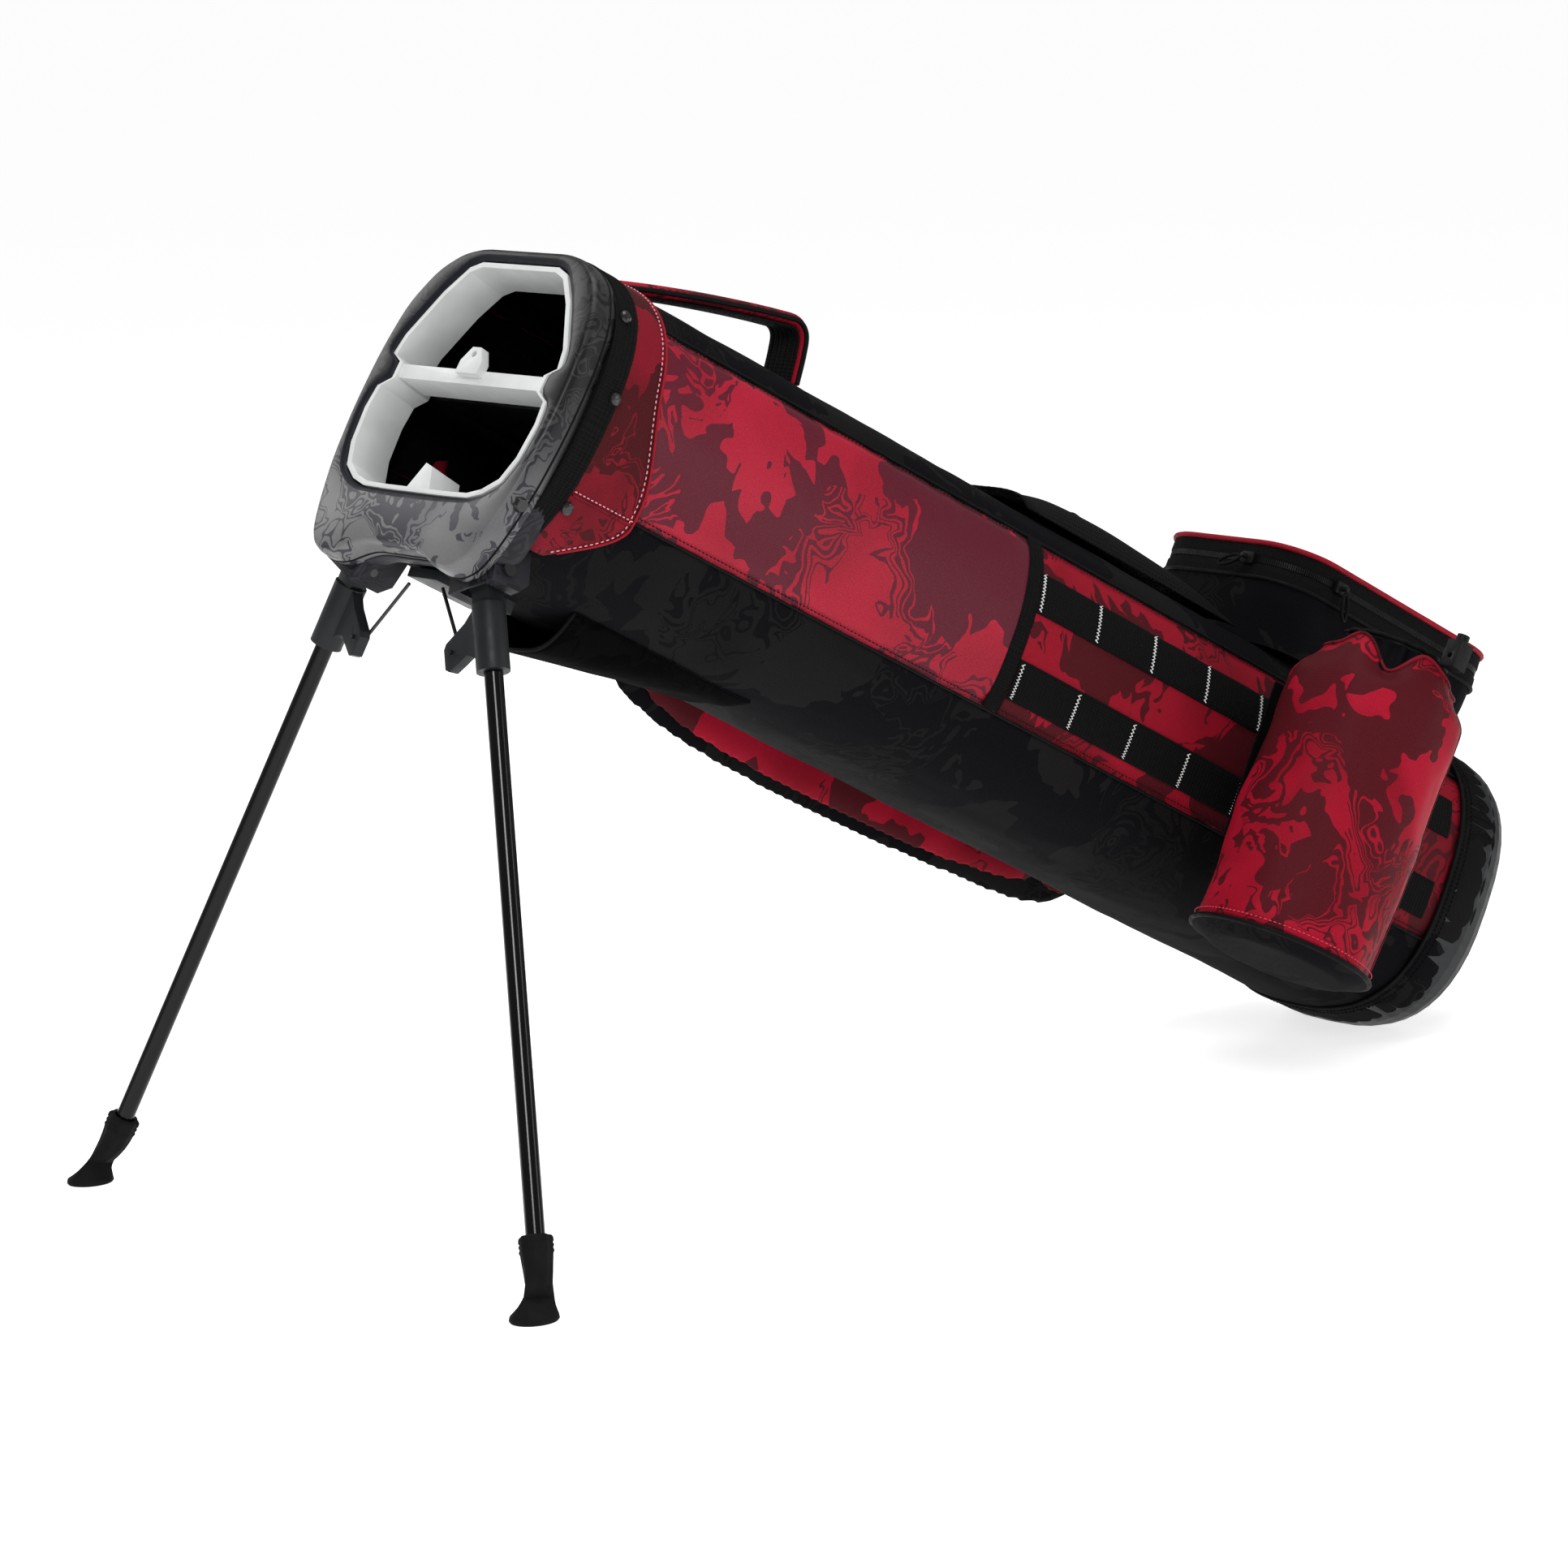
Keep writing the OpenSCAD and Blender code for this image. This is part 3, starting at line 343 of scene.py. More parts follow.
# ------------------------------------------------------------------ cuff and band
def cuff_low(a):          # lower edge, dropping round the corner under the chin
    x, y = sec(a); return 820 - 14 * sm(60, 130, x) + 52 * sm(140, 190, x)
def cuff(u, v):
    a = 44 + (316 - 44) * u; x, y = sec(a)
    top = ztop(x, -30); lo = min(cuff_low(a), top - 3); z = lo + (top - lo) * v
    t = 1.7 + .5 * math.sin(math.pi * min(1, v * 1.1)) + N(a / 9, z / 18, 3) * .25; x, y = sec(a, t); return (x, y, z)
grid('cuff_fabric', cuff, 220, 12, M['dullred'], 420, 40, thick=1.2, replaces=['cuff'], slot='red_fabric')
edge = lambda d, t=2.1: [(*sec(a, t), min(cuff_low(a), ztop(sec(a)[0], -33)) + d) for a in [48 + i * .8 for i in range(330)]]
tube('cuff_hem', edge(.4, 1.8), .9, M['piping'], slot='red_fabric')
stitches('cuff_stitch', edge(4.0, 2.5), M['pink'], 3.4, 2.0, .42, slot='thread_white')
cs = [(*sec(LO + .5, 2.5), z) for z in range(int(cuff_low(LO)) + 3, int(ztop(sec(LO)[0], -34)), 2)]
for sg in (1, -1):
    stitches('cuff_seam_%d' % (sg + 1), [(x, y * sg, z) for x, y, z in cs], M['pink'], 3.2, 2.0, .4, slot='thread_white')
    tube('cuff_seam_fold_%d' % (sg + 1), [(x + 2.2, (y - .4) * sg, z) for x, y, z in cs], .8, M['dullred'], slot='red_fabric')
def band_cap(u, v):
    a = 50 + 260 * u; x, y = sec(a, 3.2 - 6.5 * v); return (x, y, ztop(x, -19.7))
grid('band_top', band_cap, 200, 2, M['bind'], 420, 6, thick=.8, slot='webbing_black')
def band(u, v):
    a = 50 + 260 * u; x, y = sec(a, 2.5 + .55 * abs(math.sin(math.pi * 5 * v))); return (x, y, ztop(x, -36 + 16.4 * v))
grid('ribbed_band', band, 200, 40, M['bind'], 420, 16, thick=1, replaces=['collar_band'], slot='webbing_black')

# ------------------------------------------------------------------ rim
RIM = [(2, 16), (2, 40), (6, 57), (18, 74), (42, 88), (75, 93), (112, 93.5), (148, 90), (176, 83), (193, 77), (201, 71), (206, 61), (205, 47), (199, 34), (196, 24), (196, 8)]
HOLE = [(11, 12), (11, 36), (15, 46), (32, 60), (62, 77), (75, 80), (80, 70.5), (91, 70.5), (97, 81), (112, 83), (135, 80.5), (150, 74), (158, 62), (161.5, 50), (162, 30), (162, 10)]
def loop(h, rounds=2, n=240):
    P = list(h) + [(x, -y) for x, y in reversed(h)]
    for _ in range(rounds):
        P = [q for i in range(len(P)) for q in ((P[i][0] * .8 + P[(i + 1) % len(P)][0] * .2, P[i][1] * .8 + P[(i + 1) % len(P)][1] * .2),
             (P[i][0] * .2 + P[(i + 1) % len(P)][0] * .8, P[i][1] * .2 + P[(i + 1) % len(P)][1] * .8))]
    out = []
    for k in range(n):
        t = 2 * math.pi * k / n; dx, dy = math.cos(t), math.sin(t); best = 0
        for i in range(len(P)):
            ax_, ay_ = P[i][0] - 92, P[i][1]; bx, by = P[(i + 1) % len(P)][0] - 92, P[(i + 1) % len(P)][1]
            ex, ey = bx - ax_, by - ay_; den = dx * ey - dy * ex
            if abs(den) < 1e-9: continue
            r = (ax_ * ey - ay_ * ex) / den; s = (ax_ * dy - ay_ * dx) / den
            if r > 0 and -1e-6 <= s <= 1 + 1e-6: best = max(best, r)
        out.append((dx, dy, best))
    return out
RL, HL = loop(RIM), loop(HOLE, 1, 288)
def ringpts(L_, d, z): return [rim(92 + dx * (r + d), dy * (r + d), z) for dx, dy, r in L_]
RL = loop(RIM, 2, 288)
prof = [(RL, -1.6, -20), (RL, -.4, -19.4), (RL, 0, -17), (RL, .3, -9), (RL, .2, -4.5), (RL, -.5, -2), (RL, -1.8, -.6), (RL, -3.4, -.1),
        (HL, 4.6, -.1), (HL, 2.6, -.7), (HL, 1.0, -2.0), (HL, .3, -4.2), (HL, .1, -9), (HL, .1, -19.9)]
vs, fs, n = [], [], 288
for L_, d, z in prof: vs += ringpts(L_, d, z)
for j in range(len(prof)):
    for i in range(n):
        k = (i + 1) % n; j2 = (j + 1) % len(prof); fs.append((j * n + i, j * n + k, j2 * n + k, j2 * n + i))
rm = make('rim_moulding', vs, fs, M['rim'], replaces=['top_collar'], slot='rim_plastic')
rm.data.materials.append(M['bezel'])
for i, p in enumerate(rm.data.polygons):
    if 8 <= i // n <= 12: p.material_index = 1
tube('band_edge', [(*sec(a, 1.4), ztop(sec(a)[0], -20.6)) for a in [50 + i for i in range(261)]], 1.3, M['bpipe'], slot='webbing_black')
# skirt under the rim, open where the legs swing
def skirt(name, lo, hi, drop):
    ids = [i for i in range(288) if lo <= math.degrees(math.atan2(RL[i][1] * RL[i][2], RL[i][0] * RL[i][2] + 92 - 100)) <= hi]
    ids.sort(key=lambda i: math.atan2(RL[i][1], RL[i][0]))
    P = [(-1.0, -18.5), (-1.2, -20 - drop * .35), (-2.4, -20 - drop * .7), (-6.5, -20 - drop), (-13, -20 - drop - 1)]
    def f(u, v):
        dx, dy, r = RL[ids[min(len(ids) - 1, round(u * (len(ids) - 1)))]]; k = v * (len(P) - 1); j = min(len(P) - 2, int(k)); t = k - j
        d, z = P[j][0] + (P[j + 1][0] - P[j][0]) * t, P[j][1] + (P[j + 1][1] - P[j][1]) * t
        e = sm(0, .06, u) * sm(0, .06, 1 - u); z = -18.5 + (z + 18.5) * (.35 + .65 * e)
        return rim(92 + dx * (r + d), dy * (r + d), z)
    grid(name, f, len(ids) - 1, 16, M['house'], 80, 20, thick=1.6, slot='rim_plastic')
def under(u, v):
    dx, dy, r = RL[round(u * 287) % 288]; d = -1.4 - v * (4 + 9 * sm(.2, .8, dx)); return rim(92 + dx * (r + d), dy * (r + d), -20.3 - 1.2 * v)
grid('rim_underside', under, 288, 2, M['house'], 600, 13, thick=.6, slot='rim_plastic')
skirt('chin_skirt', -22, 22, 12)
skirt('side_skirt_near', 39, 62, 17); skirt('side_skirt_far', -62, -39, 17)
tube('rim_groove', [rim(92 + dx * (r - .2), dy * (r - .2), -14.5) for dx, dy, r in RL], .8, M['bpipe'], closed=True, slot='rim_plastic')

# ------------------------------------------------------------------ base
prof = [(0, -13), (.6, -10.5), (2.2, -6.2), (6, -2.4), (12, .3), (20, 1.9), (30, 2.5), (53, 2.4), (55.5, 1.6), (55.5, .6)]
vs, fs, uv, n = [], [], [], 160
for z, t in prof:
    for i in range(n):
        a = 360 * i / n; x, y = sec(a, t + (N(a / 20, z / 14, 5) * .5 if z > 12 else 0))
        lim = 189 + z * math.tan(LEAN)
        vs.append((min(x, lim), y, z)); uv.append((i / n * 600, z))
for j in range(len(prof) - 1):
    for i in range(n): fs.append((j * n + i, j * n + (i + 1) % n, (j + 1) * n + (i + 1) % n, (j + 1) * n + i))
make('base_cover', vs, fs, M['black'], uvs=uv, slot='black_fabric')
for k, zz in enumerate((46, 51)):
    stitches('base_stitch_%d' % k, [(*sec(a * 2, 2.75), zz + 12 * math.cos(math.radians(a * 2 + 180)) * 0) for a in range(181)], M['bind'], 3.2, 2.2, .4, slot='webbing_black')
tube('base_piping', [(*sec(a * 2, 2.2), 55.5) for a in range(180)], 1.2, M['bpipe'], closed=True, slot='webbing_black')

# ------------------------------------------------------------------ belly hood
def hood(u, v):           # v from 0 low to 1 at the piped edge
    y = -46 + 92 * u; z = 640 + 148 * v; k = 1 - abs(2 * u - 1) ** 4
    base = 98 + 97.5 * max(0, 1 - (abs(y) / 94) ** 2.6) ** (1 / 2.6) + 1.2
    return (base + k * (23 * v ** 1.1 - 1.5 + N(y / 20, z / 30, 7) * .9), y, z)
grid('belly_hood', hood, 50, 50, M['black'], 76, 150, thick=1.6, lining=True, replaces=['leg_hood'], slot='black_fabric')
tube('hood_piping', [hood(i / 50, 1) for i in range(51)], 1.3, M['bpipe'], slot='webbing_black')

# ------------------------------------------------------------------ handle
HP = [(-3.6, 0, 812), (-12, 0, 786), (-22, 0, 752), (-31, 0, 718), (-38, 0, 688), (-39.5, 0, 676), (-34, 0, 668), (-22, 0, 664.5), (-3.6, 0, 662)]
def hsweep(w, t0, t1, crown):
    def f(u, v):
        p = cr(HP, v); q = cr(HP, min(1, v + .01)) - cr(HP, max(0, v - .01)); q.normalize(); nrm = Vector((q.z, 0, -q.x))
        a = 2 * math.pi * u; y = math.cos(a); s = math.sin(a)
        yy = math.copysign(abs(y) ** .5, y) * w / 2; tt = (t0 + t1) / 2 + math.copysign(abs(s) ** .6, s) * (t1 - t0) / 2 * (1 + crown * (1 - y * y))
        r = p + nrm * tt; return (max(r.x, -60), yy, r.z)
    return f
hp = grid('handle_pad', hsweep(29, -4.2, 3.2, .1), 28, 90, M['red'], 60, 200, closed=True, replaces=['handle_grip'], slot='red_fabric')
bm = bmesh.new(); bm.from_mesh(hp.data); bmesh.ops.holes_fill(bm, edges=[e for e in bm.edges if e.is_boundary], sides=0); bmesh.ops.recalc_face_normals(bm, faces=bm.faces); bm.to_mesh(hp.data); bm.free()
def hweb(u, v):
    p = cr(HP, v); q = cr(HP, min(1, v + .01)) - cr(HP, max(0, v - .01)); q.normalize(); nrm = Vector((q.z, 0, -q.x))
    r = p - nrm * (4.6 + .45 * abs(math.sin(math.pi * 6 * u))); return (r.x, -13 + 26 * u, r.z)
grid('handle_band', hweb, 48, 110, M['bind'], 26, 200, thick=1.2, replaces=['handle_webbing'], slot='webbing_black')
for s in (-1, 1):
    tube('handle_bind_%d' % (s + 1), [tuple(Vector(hsweep(29, -4.2, 3.2, 0)(0 if s > 0 else .5, i / 60))) for i in range(61)], 1.7, M['bpipe'], slot='webbing_black')

# ------------------------------------------------------------------ mesh pocket
MP = [(-3, 269), (-8, 274), (-15, 305), (-18.6, 360), (-19.6, 398), (-17.6, 440), (-12.6, 465), (-11.5, 475)]
def mpk(u, v):
    p = cr([(a, 0, b) for a, b in MP], v); k = 1 - abs(2 * u - 1) ** 4; y = -44 + 88 * u
    return (min(-.2, p.x * k), y, p.z)
grid('mesh_pocket_net', mpk, 60, 90, M['mesh'], 88, 255, thick=.8, replaces=['mesh_pocket'], slot='mesh_black')
def mhem(u, v):
    x, y, z = mpk(u, 1); return (x - .6 * math.sin(math.pi * v) + N(y / 5, 0, 1) * .4, y, 464 + 12 * v)
grid('mesh_hem', mhem, 60, 6, M['web'], 88, 12, thick=1.2, replaces=['mesh_pocket_rim'], slot='webbing_black')
tube('mesh_loop', [(-20.5 - 2.5 * math.sin(math.pi * i / 12), -9 + 1.5 * i, 400) for i in range(13)], 1.3, M['web'], slot='webbing_black')

# ------------------------------------------------------------------ back pocket
def rr(w, l, r, n=12):
    return [(cx * (w / 2 - r) + r * math.cos(math.radians(b + 90 * i / n)), cy * (l / 2 - r) + r * math.sin(math.radians(b + 90 * i / n)))
            for cx, cy, b in ((1, 1, 0), (-1, 1, 90), (-1, -1, 180), (1, -1, 270)) for i in range(n + 1)]
def dense(P, n=220):
    P = P + [P[0]]; L_ = [0]
    for a, b in zip(P, P[1:]): L_.append(L_[-1] + math.dist(a, b))
    out, j = [], 0
    for k in range(n):
        s = L_[-1] * k / n
        while L_[j + 1] < s: j += 1
        f = (s - L_[j]) / max(1e-9, L_[j + 1] - L_[j]); out.append((P[j][0] + (P[j + 1][0] - P[j][0]) * f, P[j][1] + (P[j + 1][1] - P[j][1]) * f))
    return out
def pk(w, l, r, x, wob=0, seed=0):
    return [(x, p[1] + wob * N(p[0] / 30, p[1] / 30, seed + x / 20) * (1 if p[1] > 0 else -1), 150 + p[0]) for p in dense(rr(l, w, r))]
def lofted(name, rings, m, cap=False, **kw):
    n = len(rings[0]); vs = [p for r in rings for p in r]; uv = [(i / n * 820, j * 6) for j in range(len(rings)) for i in range(n)]
    fs = [(j * n + i, j * n + (i + 1) % n, (j + 1) * n + (i + 1) % n, (j + 1) * n + i) for j in range(len(rings) - 1) for i in range(n)]
    if cap: fs.append(tuple((len(rings) - 1) * n + i for i in range(n)))
    return make(name, vs, fs, m, uvs=uv, **kw)
pw, pl = 136, 218
lofted('pocket_wall', [pk(pw - 12 + 11 * sm(0, 1, j / 12) , pl - 10 + 9 * sm(0, 1, j / 12), 30 + j / 2, 4 - 42 * j / 12, 1.6, 3) for j in range(13)], M['black'], replaces=['pocket_tub'], slot='black_fabric')
lofted('zip_tape', [pk(pw + 1 - .1 * j - (2.2 if 4 <= j <= 5 else 0), pl + 1 - .1 * j - (2.2 if 4 <= j <= 5 else 0), 36, -38.4 - 2.4 * j) for j in range(10)], M['web'], replaces=['pocket_zip_band'], slot='webbing_black')
tube('pocket_line', pk(pw + .4, pl + .4, 36, -38.2), 1.5, M['bpipe'], closed=True, slot='webbing_black')
teeth = pk(pw - 1.2, pl - 1.2, 36, -50)
vs, fs = [], []
for p, t in resample(teeth + [teeth[0]], 1.5):
    nrm = Vector((1, 0, 0)).cross(t); b = len(vs)
    for sx in (-1.9, 1.9):
        for st in (-.45, .45):
            for sn in (-.6, .6): vs.append(tuple(p + Vector((sx, 0, 0)) + t * st + nrm * sn))
    fs += [(b, b + 1, b + 3, b + 2), (b + 4, b + 6, b + 7, b + 5), (b, b + 4, b + 5, b + 1), (b + 2, b + 3, b + 7, b + 6), (b, b + 2, b + 6, b + 4), (b + 1, b + 5, b + 7, b + 3)]
make('zip_teeth', vs, fs, M['zip'], smooth=False, slot='zip_black')
def crown(f):             # lid as rings shrinking to the middle, crowned
    k = 1 - f; return pk((pw - 1) * k + .5, (pl - 1) * k + .5, max(.2, 36 * k), -62 - 11.5 * (1 - k ** 3) , 0)
lid = lofted('pocket_lid_panel', [pk(pw - 2, pl - 2, 35, -60.6)] + [crown(f) for f in (0, .03, .08, .15, .25, .38, .52, .66, .8, .92, .99)], M['red'], cap=True, body='lid', replaces=['pocket_lid'], slot='red_fabric')
for v in lid.data.vertices:
    v.co += Vector((SB, 0, CB)) * (N(v.co.x * 22, v.co.y * 22, 2) * .0012)
tube('lid_piping', pk(pw + .2, pl + .2, 36, -62), 1.8, M['piping'], closed=True, body='lid', slot='red_fabric')
for nm, bd, c, d in (('near', 'pull_near', (-50, 75, 215), (1, 0, -.36)), ('top', 'pull_top', (-50, 26, 266.0), (.36, -1, 0))):
    c = Vector(c); d = Vector(d).normalized(); s = Vector((0, 1, 0)).cross(d).normalized() if nm == 'near' else Vector((0, 0, 1)).cross(d).normalized()
    lp = [tuple(c + d * (3 + 9 * (1 - math.cos(q))) + s * 2.6 * math.sin(q)) for q in [2 * math.pi * i / 28 for i in range(28)]]
    tube('pull_cord_' + nm, lp, 1.15, M['bpipe'], closed=True, body=bd, replaces=['zip_pull_' + nm], slot='zip_black')

# ------------------------------------------------------------------ accessory pouch
R = 60.0
def pshell(u, v):
    th = 2 * math.pi * u; s = 102 - 194 * v
    r = R - .6 - 1.8 * sm(-30, 60, abs(s - 20)) + N(math.cos(th) * 1.6, math.sin(th) * 1.6, s / 50) * 1.8 + N(math.cos(th) * 4, math.sin(th) * 4, s / 22) * .9
    k = sm(-66, -93, s); r = r - 13 * k ** 1.2 + k * 1.2 * math.sin(9 * th + 1)
    dg = math.degrees(th); s2 = s + k * (15 * math.exp(-((dg - 136) / 15) ** 2) - 6.5 * math.exp(-((dg - 108) / 20) ** 2) - 6.5 * math.exp(-((dg - 166) / 18) ** 2) + 3 * math.sin(2 * th))
    x, y = r * math.cos(th), min(r, R) * math.sin(th); return pf(x, max(y, -59.6), s2)
grid('pouch_fabric', pshell, 140, 90, M['red'], 377, 205, closed=True, thick=1.6, replaces=['pouch_shell'], slot='red_fabric')
tube('pouch_top_hem', [pshell(i / 140, 1) for i in range(140)], 1.1, M['dullred'], closed=True, slot='red_fabric')
def pthroat(u, v):
    th = 2 * math.pi * u; s = -86 - 20 * v; f = math.sin(17 * th + 2 * math.sin(3 * th))
    r = 45 - 10 * sm(0, 1, v) + f * (1.0 + 1.2 * v); return pf(r * math.cos(th), r * math.sin(th), -78 - 24 * v)
grid('pouch_throat_fabric', pthroat, 200, 16, M['black'], 260, 20, closed=True, thick=1.0, replaces=['pouch_throat'], slot='black_fabric')
tube('pouch_drawcord', [pf((33.5 + math.sin(17 * t) * .8) * math.cos(t), (33.5 + math.sin(17 * t) * .8) * math.sin(t), -105) for t in [2 * math.pi * i / 120 for i in range(120)]], 1.5, M['bpipe'], closed=True, replaces=['pouch_cord'], slot='webbing_black')
def pbase(u, v):
    th = 2 * math.pi * u; r = (R + .3) * (1 - v) ** .5 if v < 1 else 0; return pf(r * math.cos(th), max(-59.7, r * math.sin(th)), 104 + 6.8 * sm(0, .5, v) + .4)
grid('pouch_floor', pbase, 96, 16, M['black'], 377, 60, closed=True, replaces=['pouch_base'], slot='black_fabric')
tube('pouch_piping', [pf((R - .2) * math.cos(t), (R - .4) * math.sin(t), 103.5) for t in [2 * math.pi * i / 120 for i in range(120)]], 1.7, M['bpipe'], closed=True, slot='webbing_black')
stitches('pouch_stitch', [pf((R - .7) * math.cos(t), (R - .8) * math.sin(t), 98) for t in [2 * math.pi * i / 120 for i in range(121)]], M['redthread'], 3.2, 2.1, .4, slot='thread_white')
tube('pouch_seam', [pshell(.143, i / 60) for i in range(1, 58)], .7, M['dullred'], slot='red_fabric')

# ------------------------------------------------------------------ shoulder strap
PP = [(118, -103, 652), (140, -105, 622), (158, -107, 580), (166, -108, 520), (168, -108, 440), (167, -108, 360), (164, -107, 290), (160, -106, 226), (148, -104, 186)]
def pad(w, t, dy, quilt):
    def f(u, v):
        p = cr(PP, v); q = (cr(PP, min(1, v + .01)) - cr(PP, max(0, v - .01))).normalized(); s = Vector((-q.z, 0, q.x)).normalized()
        k = min(1, .5 + .5 * math.sqrt(max(0, 1 - (1 - min(1, v / .12)) ** 2)), .5 + .5 * math.sqrt(max(0, 1 - (1 - min(1, (1 - v) / .12)) ** 2)))
        a = 2 * math.pi * u; c, n_ = math.cos(a), math.sin(a)
        ww = math.copysign(abs(c) ** .55, c) * w * k / 2; tt = math.copysign(abs(n_) ** .8, n_) * t / 2
        if quilt: tt *= .80 + .20 * abs(math.sin(math.pi * (ww / w * 4 + .5))) ** .6
        r = p - s * ww; return (r.x, r.y - dy + tt, r.z)
    return f
def pad_obj(name, f, m, node, slot, lu, cap, vox):
    nu, nv = 48, 130; vs, fs, uv = [], [], []
    for j in range(nv + 1):
        for i in range(nu): vs.append(f(i / nu, j / nv)); uv.append((i / nu * lu, j / nv * 470))
    for j in range(nv):
        for i in range(nu): fs.append((j * nu + i, j * nu + (i + 1) % nu, (j + 1) * nu + (i + 1) % nu, (j + 1) * nu + i))
    fs += [tuple(range(nu))[::-1], tuple(nv * nu + i for i in range(nu))]
    o = make(name, vs, fs, m, uvs=uv, replaces=[node], slot=slot); inflate(o, 3.0, cap, vox); return o
pad_obj('strap_pad_red', pad(64, 4.4, 0, False), M['red'], 'strap_inner_pad', 'red_fabric', 140, .8, 4)
pad_obj('strap_pad_black', pad(78, 9.5, 9, True), M['black'], 'strap_outer_pad', 'black_fabric', 170, 1.6, 4)
for tag, a, b, nd_ in (('upper', (117, -110, 655), (75.5, -102, 735), 'strap_web_upper'), ('lower', (146.5, -108.5, 183), (103, -104.8, 154), 'strap_web_lower')):
    a, b = Vector(a), Vector(b); s = Vector((b.z - a.z, 0, -(b.x - a.x))).normalized()
    def f(u, v, a=a, b=b, s=s):
        p = a.lerp(b, v) + s * (u - .5) * 25; return (p.x, p.y + 1 - 1.2 * math.sin(math.pi * v), p.z)
    grid('strap_webbing_' + tag, f, 20, 40, M['web'], 25, 98, thick=1.6, replaces=[nd_], slot='webbing_black')
for tag, x0, z0 in (('upper', 46, 762), ('lower', 70, 84)):
    def f(u, v, x0=x0, z0=z0): return (x0 + 26 * u, -97.7 - .3 * math.sin(math.pi * v), z0 + 40 * v)
    grid('anchor_patch_' + tag, f, 20, 30, M['web'], 26, 40, thick=1.4, slot='webbing_black', **({'replaces': ['strap_anchors']} if tag == 'upper' else {}))
    stitches('anchor_stitch_' + tag, [(x0 + 3, -98.2, z0 + 4), (x0 + 23, -98.2, z0 + 4), (x0 + 23, -98.2, z0 + 30), (x0 + 3, -98.2, z0 + 30), (x0 + 3, -98.2, z0 + 4), (x0 + 23, -98.2, z0 + 30)], M['white'], slot='thread_white')

# ------------------------------------------------------------------ moulded pieces with rounded edges
def rounded(node, w, m, body, seg=3, ang=28):
    src = NODES[node]; me = src.data.copy(); me.transform(src.matrix_world)
    bm = bmesh.new(); bm.from_mesh(me); bmesh.ops.remove_doubles(bm, verts=bm.verts, dist=2e-6)
    bmesh.ops.dissolve_limit(bm, angle_limit=math.radians(.6), verts=bm.verts, edges=bm.edges); bm.to_mesh(me); bm.free()
    me.materials.clear(); me.materials.append(m)
    o = bpy.data.objects.new(node + '_moulded', me); bpy.context.scene.collection.objects.link(o)
    b = o.modifiers.new('b', 'BEVEL'); b.width = w / 1000; b.segments = seg; b.limit_method = 'ANGLE'; b.angle_limit = math.radians(ang); b.use_clamp_overlap = True; b.harden_normals = False
    apply(o)
    for p in o.data.polygons: p.use_smooth = True
    o.data.set_sharp_from_angle(angle=math.radians(38))
    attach(o, body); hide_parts(node); return o
rounded('leg_housing', 2.6, M['house'], 'bag', 4)
rounded('divider_liner', 1.1, M['liner'], 'bag')
rounded('leg_bracket_near', 1.5, M['bracket'], 'leg_near')
rounded('leg_bracket_far', 1.5, M['bracket'], 'leg_far')
rounded('actuator_yoke', 1.6, M['bracket'], 'actuator')
rounded('strap_adjuster', .7, M['zip'], 'bag')
rounded('strap_ring', .9, M['metal'], 'bag')
rounded('cord_lock_body', 1.6, M['zip'], 'bag')
for sd in ('near', 'top'): rounded('zip_slider_' + sd, .6, M['zip'], 'slider_' + sd)

# feet: a ribbed collar, a waist and a toe that spreads on the ground
SPL, DRP = math.radians(22.3), math.radians(11.9)
DIR = Vector((math.cos(DRP) * math.cos(SPL), math.cos(DRP) * math.sin(SPL), -math.sin(DRP)))
HG = Vector((199, 60, 868)); LEG = (CB * (D0 - 199) + SB * 868) / (CB * DIR.x - SB * DIR.z)
EY = Vector((-SB * 0 - CB, 0, 0))
for tag, sg in (('near', 1), ('far', -1)):
    d = Vector((DIR.x, DIR.y * sg, DIR.z)); h = Vector((HG.x, HG.y * sg, HG.z))
    dw = (W(*(h + d)) - W(*h)).normalized(); end = W(*(h + d * LEG)); n = 64
    sw = Vector((0, 0, 1)); sx = Vector((1, 0, 0)); vs, fs, uv = [], [], []
    a1 = dw.orthogonal().normalized(); ux = (sx - dw * sx.dot(dw)).normalized(); uy = dw.cross(ux)
    prof = [(46, 6.2, 0), (46, 8.6, 0), (45, 9.4, 0), (43, 9.6, 0), (42, 9.0, 0), (40.5, 9.6, 0), (39, 9.0, 0), (37.5, 9.6, 0), (36, 9.0, 0), (32, 8.6, 0), (26, 8.3, .05), (20, 8.6, .2), (14, 9.6, .45), (8, 11.2, .8), (3.5, 12.6, 1), (1.2, 13.0, 1), (0, 12.2, 1)]
    for s_, r, f in prof:
        ca = end - dw * (s_ / 1000)
        cb = end + Vector((0, 0, s_ / 1000 * .9)) - Vector((.005, 0, 0)) * f
        for i in range(n):
            t = 2 * math.pi * i / n; rb = 1 + .05 * math.cos(8 * t) * (1 - f)
            pa = ca + (ux * math.cos(t) + uy * math.sin(t)) * r * rb / 1000
            pb = cb + Vector((math.cos(t) * r * 1.16, math.sin(t) * r * .94, 0)) / 1000
            vs.append(tuple(pa.lerp(pb, f))); uv.append((i, s_))
    for j in range(len(prof) - 1):
        for i in range(n): fs.append((j * n + i, j * n + (i + 1) % n, (j + 1) * n + (i + 1) % n, (j + 1) * n + i))
    fs.append(tuple((len(prof) - 1) * n + i for i in range(n)))
    make('foot_moulded_' + tag, vs, fs, M['rubber'], body='leg_' + tag, uvs=uv, local=False, replaces=['leg_foot_' + tag], slot='foot_rubber')
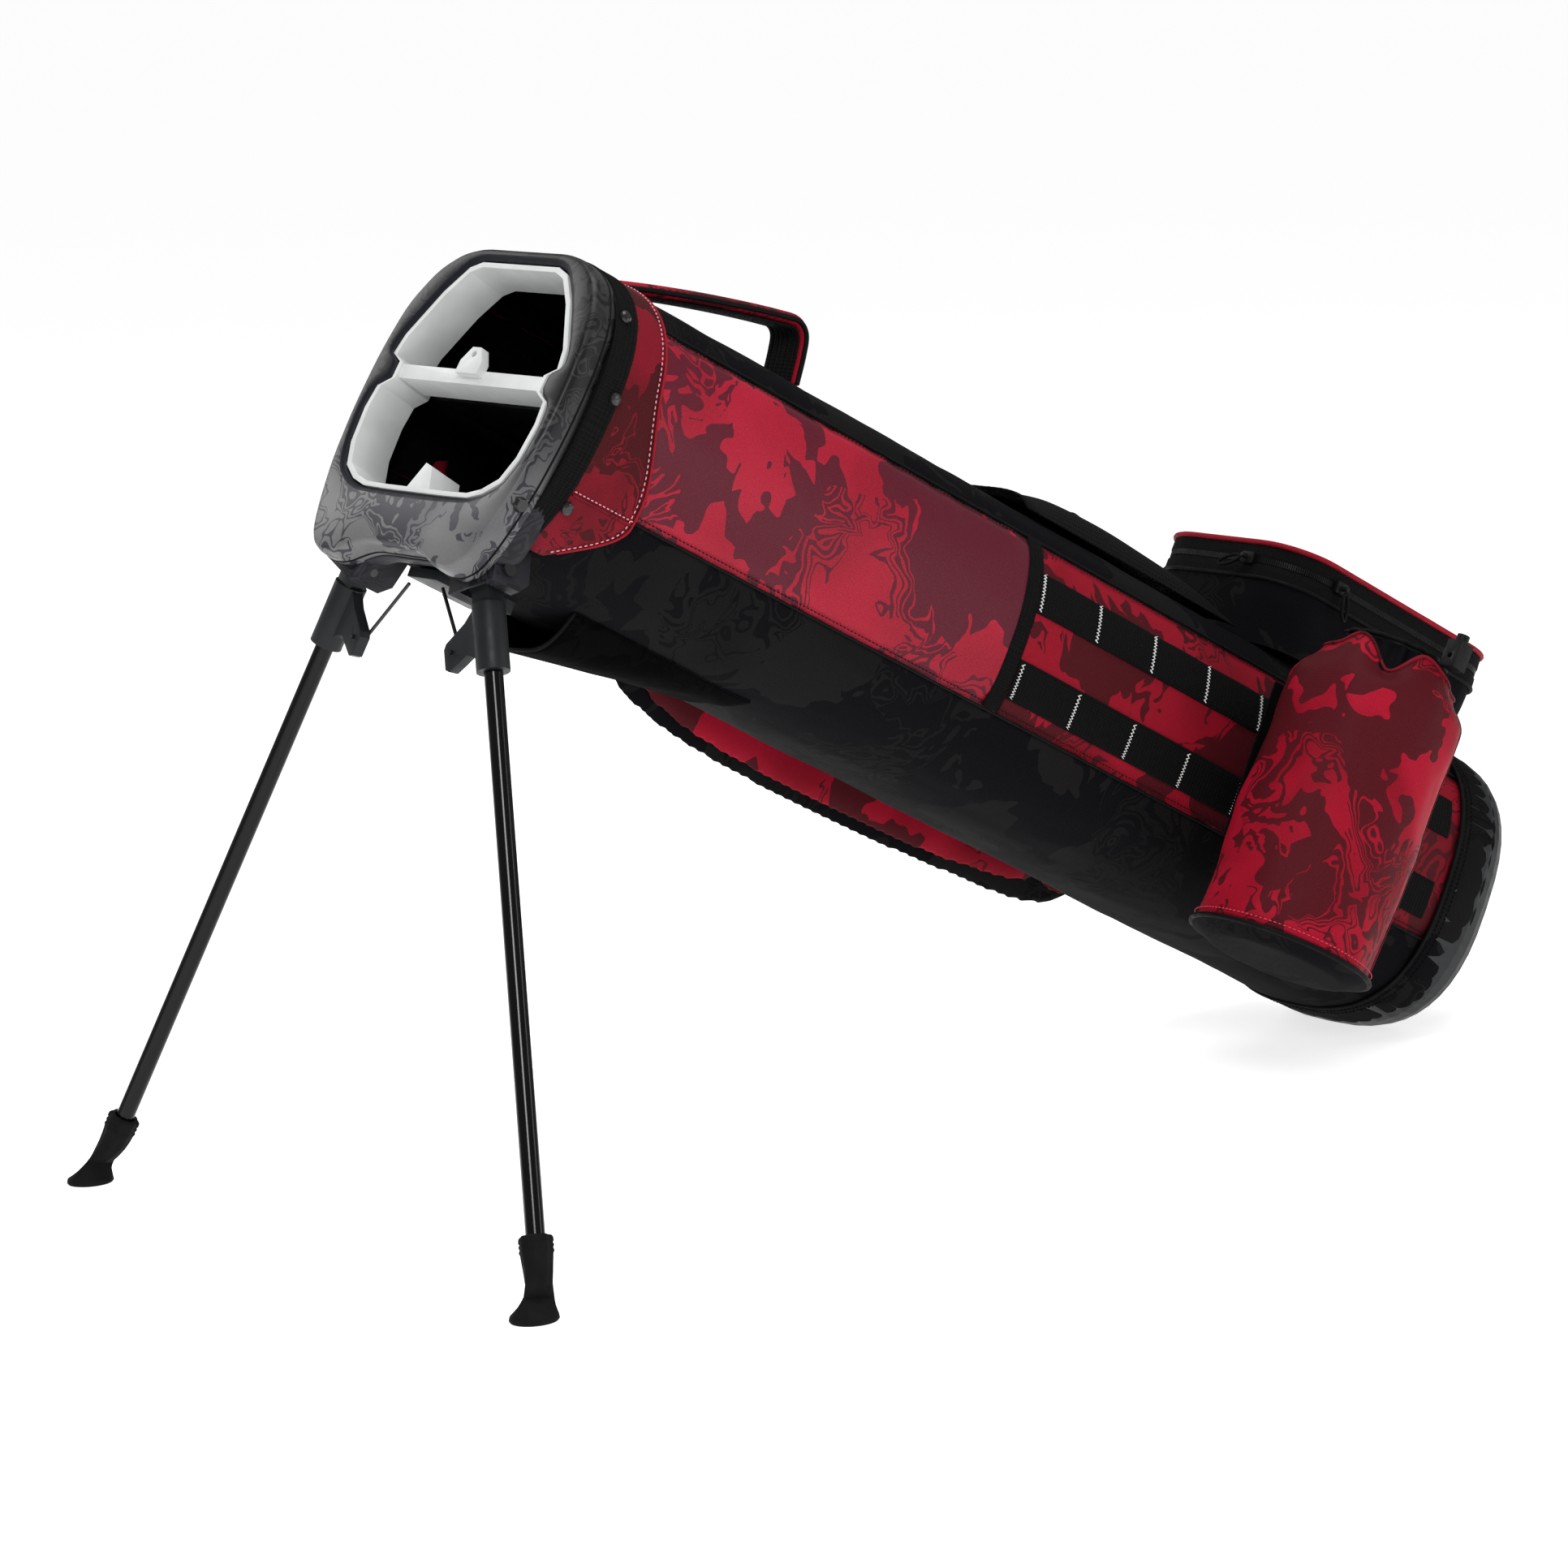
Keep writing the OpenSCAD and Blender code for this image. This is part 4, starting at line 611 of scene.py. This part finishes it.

# ------------------------------------------------------------------ leg details and CAD materials
# the stay rods take the near-black lining colour so they sink into the mouth: painted shade
KEEP = {'band_rivets': 'metal', 'collar_bolts': 'metal', 'stay_rods': 'lining', 'divider_sheet': 'black', 'base_cup': 'bracket', 'base_lever': 'bracket',
        'base_lever_pin': 'steel', 'leg_pin_near': 'metal', 'leg_pin_far': 'metal', 'leg_tube_near': 'tube', 'leg_tube_far': 'tube',
        'link_wire_near': 'metal', 'link_wire_far': 'metal', 'actuator_rods': 'steel',
        'pouch_straps': 'web', 'cord_lock_button': 'zip'}
for k, v in KEEP.items():
    o = NODES[k]
    if not o.data.materials: o.data.materials.append(M[v])
    for s in o.material_slots: s.link = 'OBJECT'; s.material = M[v]

# ------------------------------------------------------------------ stage
bpy.ops.mesh.primitive_plane_add(size=300, location=(0, 0, 0)); fl = bpy.context.object; fl.name = 'floor'
fm, nt, b = mat('floor'); b.inputs['Base Color'].default_value = (.86, .86, .86, 1); b.inputs['Roughness'].default_value = .9
b.inputs['Emission Color'].default_value = (1, 1, 1, 1); b.inputs['Emission Strength'].default_value = .72; b.inputs['Specular IOR Level'].default_value = 0
fl.data.materials.append(fm)
w = bpy.data.worlds.new('w'); bpy.context.scene.world = w; w.use_nodes = True
w.node_tree.nodes['Background'].inputs[0].default_value = (1, 1, 1, 1); w.node_tree.nodes['Background'].inputs[1].default_value = .3
def area(name, loc, size, power, target=(0, 0, .25), sy=None):
    l = bpy.data.lights.new(name, 'AREA'); l.size = size; l.energy = power
    if sy: l.shape = 'RECTANGLE'; l.size_y = sy
    o = bpy.data.objects.new(name, l)
    bpy.context.scene.collection.objects.link(o); o.location = loc
    o.rotation_euler = (Vector(target) - Vector(loc)).to_track_quat('-Z', 'Y').to_euler()
area('key', (-2.0, -1.9, 2.2), .8, 42, (-.2, 0, .35))
area('top', (.3, -.2, 2.6), 1.6, 30)
area('strip', (1.6, -2.4, .9), .35, 9, (-.3, -.1, .2), 1.8)
area('rim', (-.6, 2.2, 1.6), 1.2, 16)
bpy.context.scene.view_settings.view_transform = 'Standard'
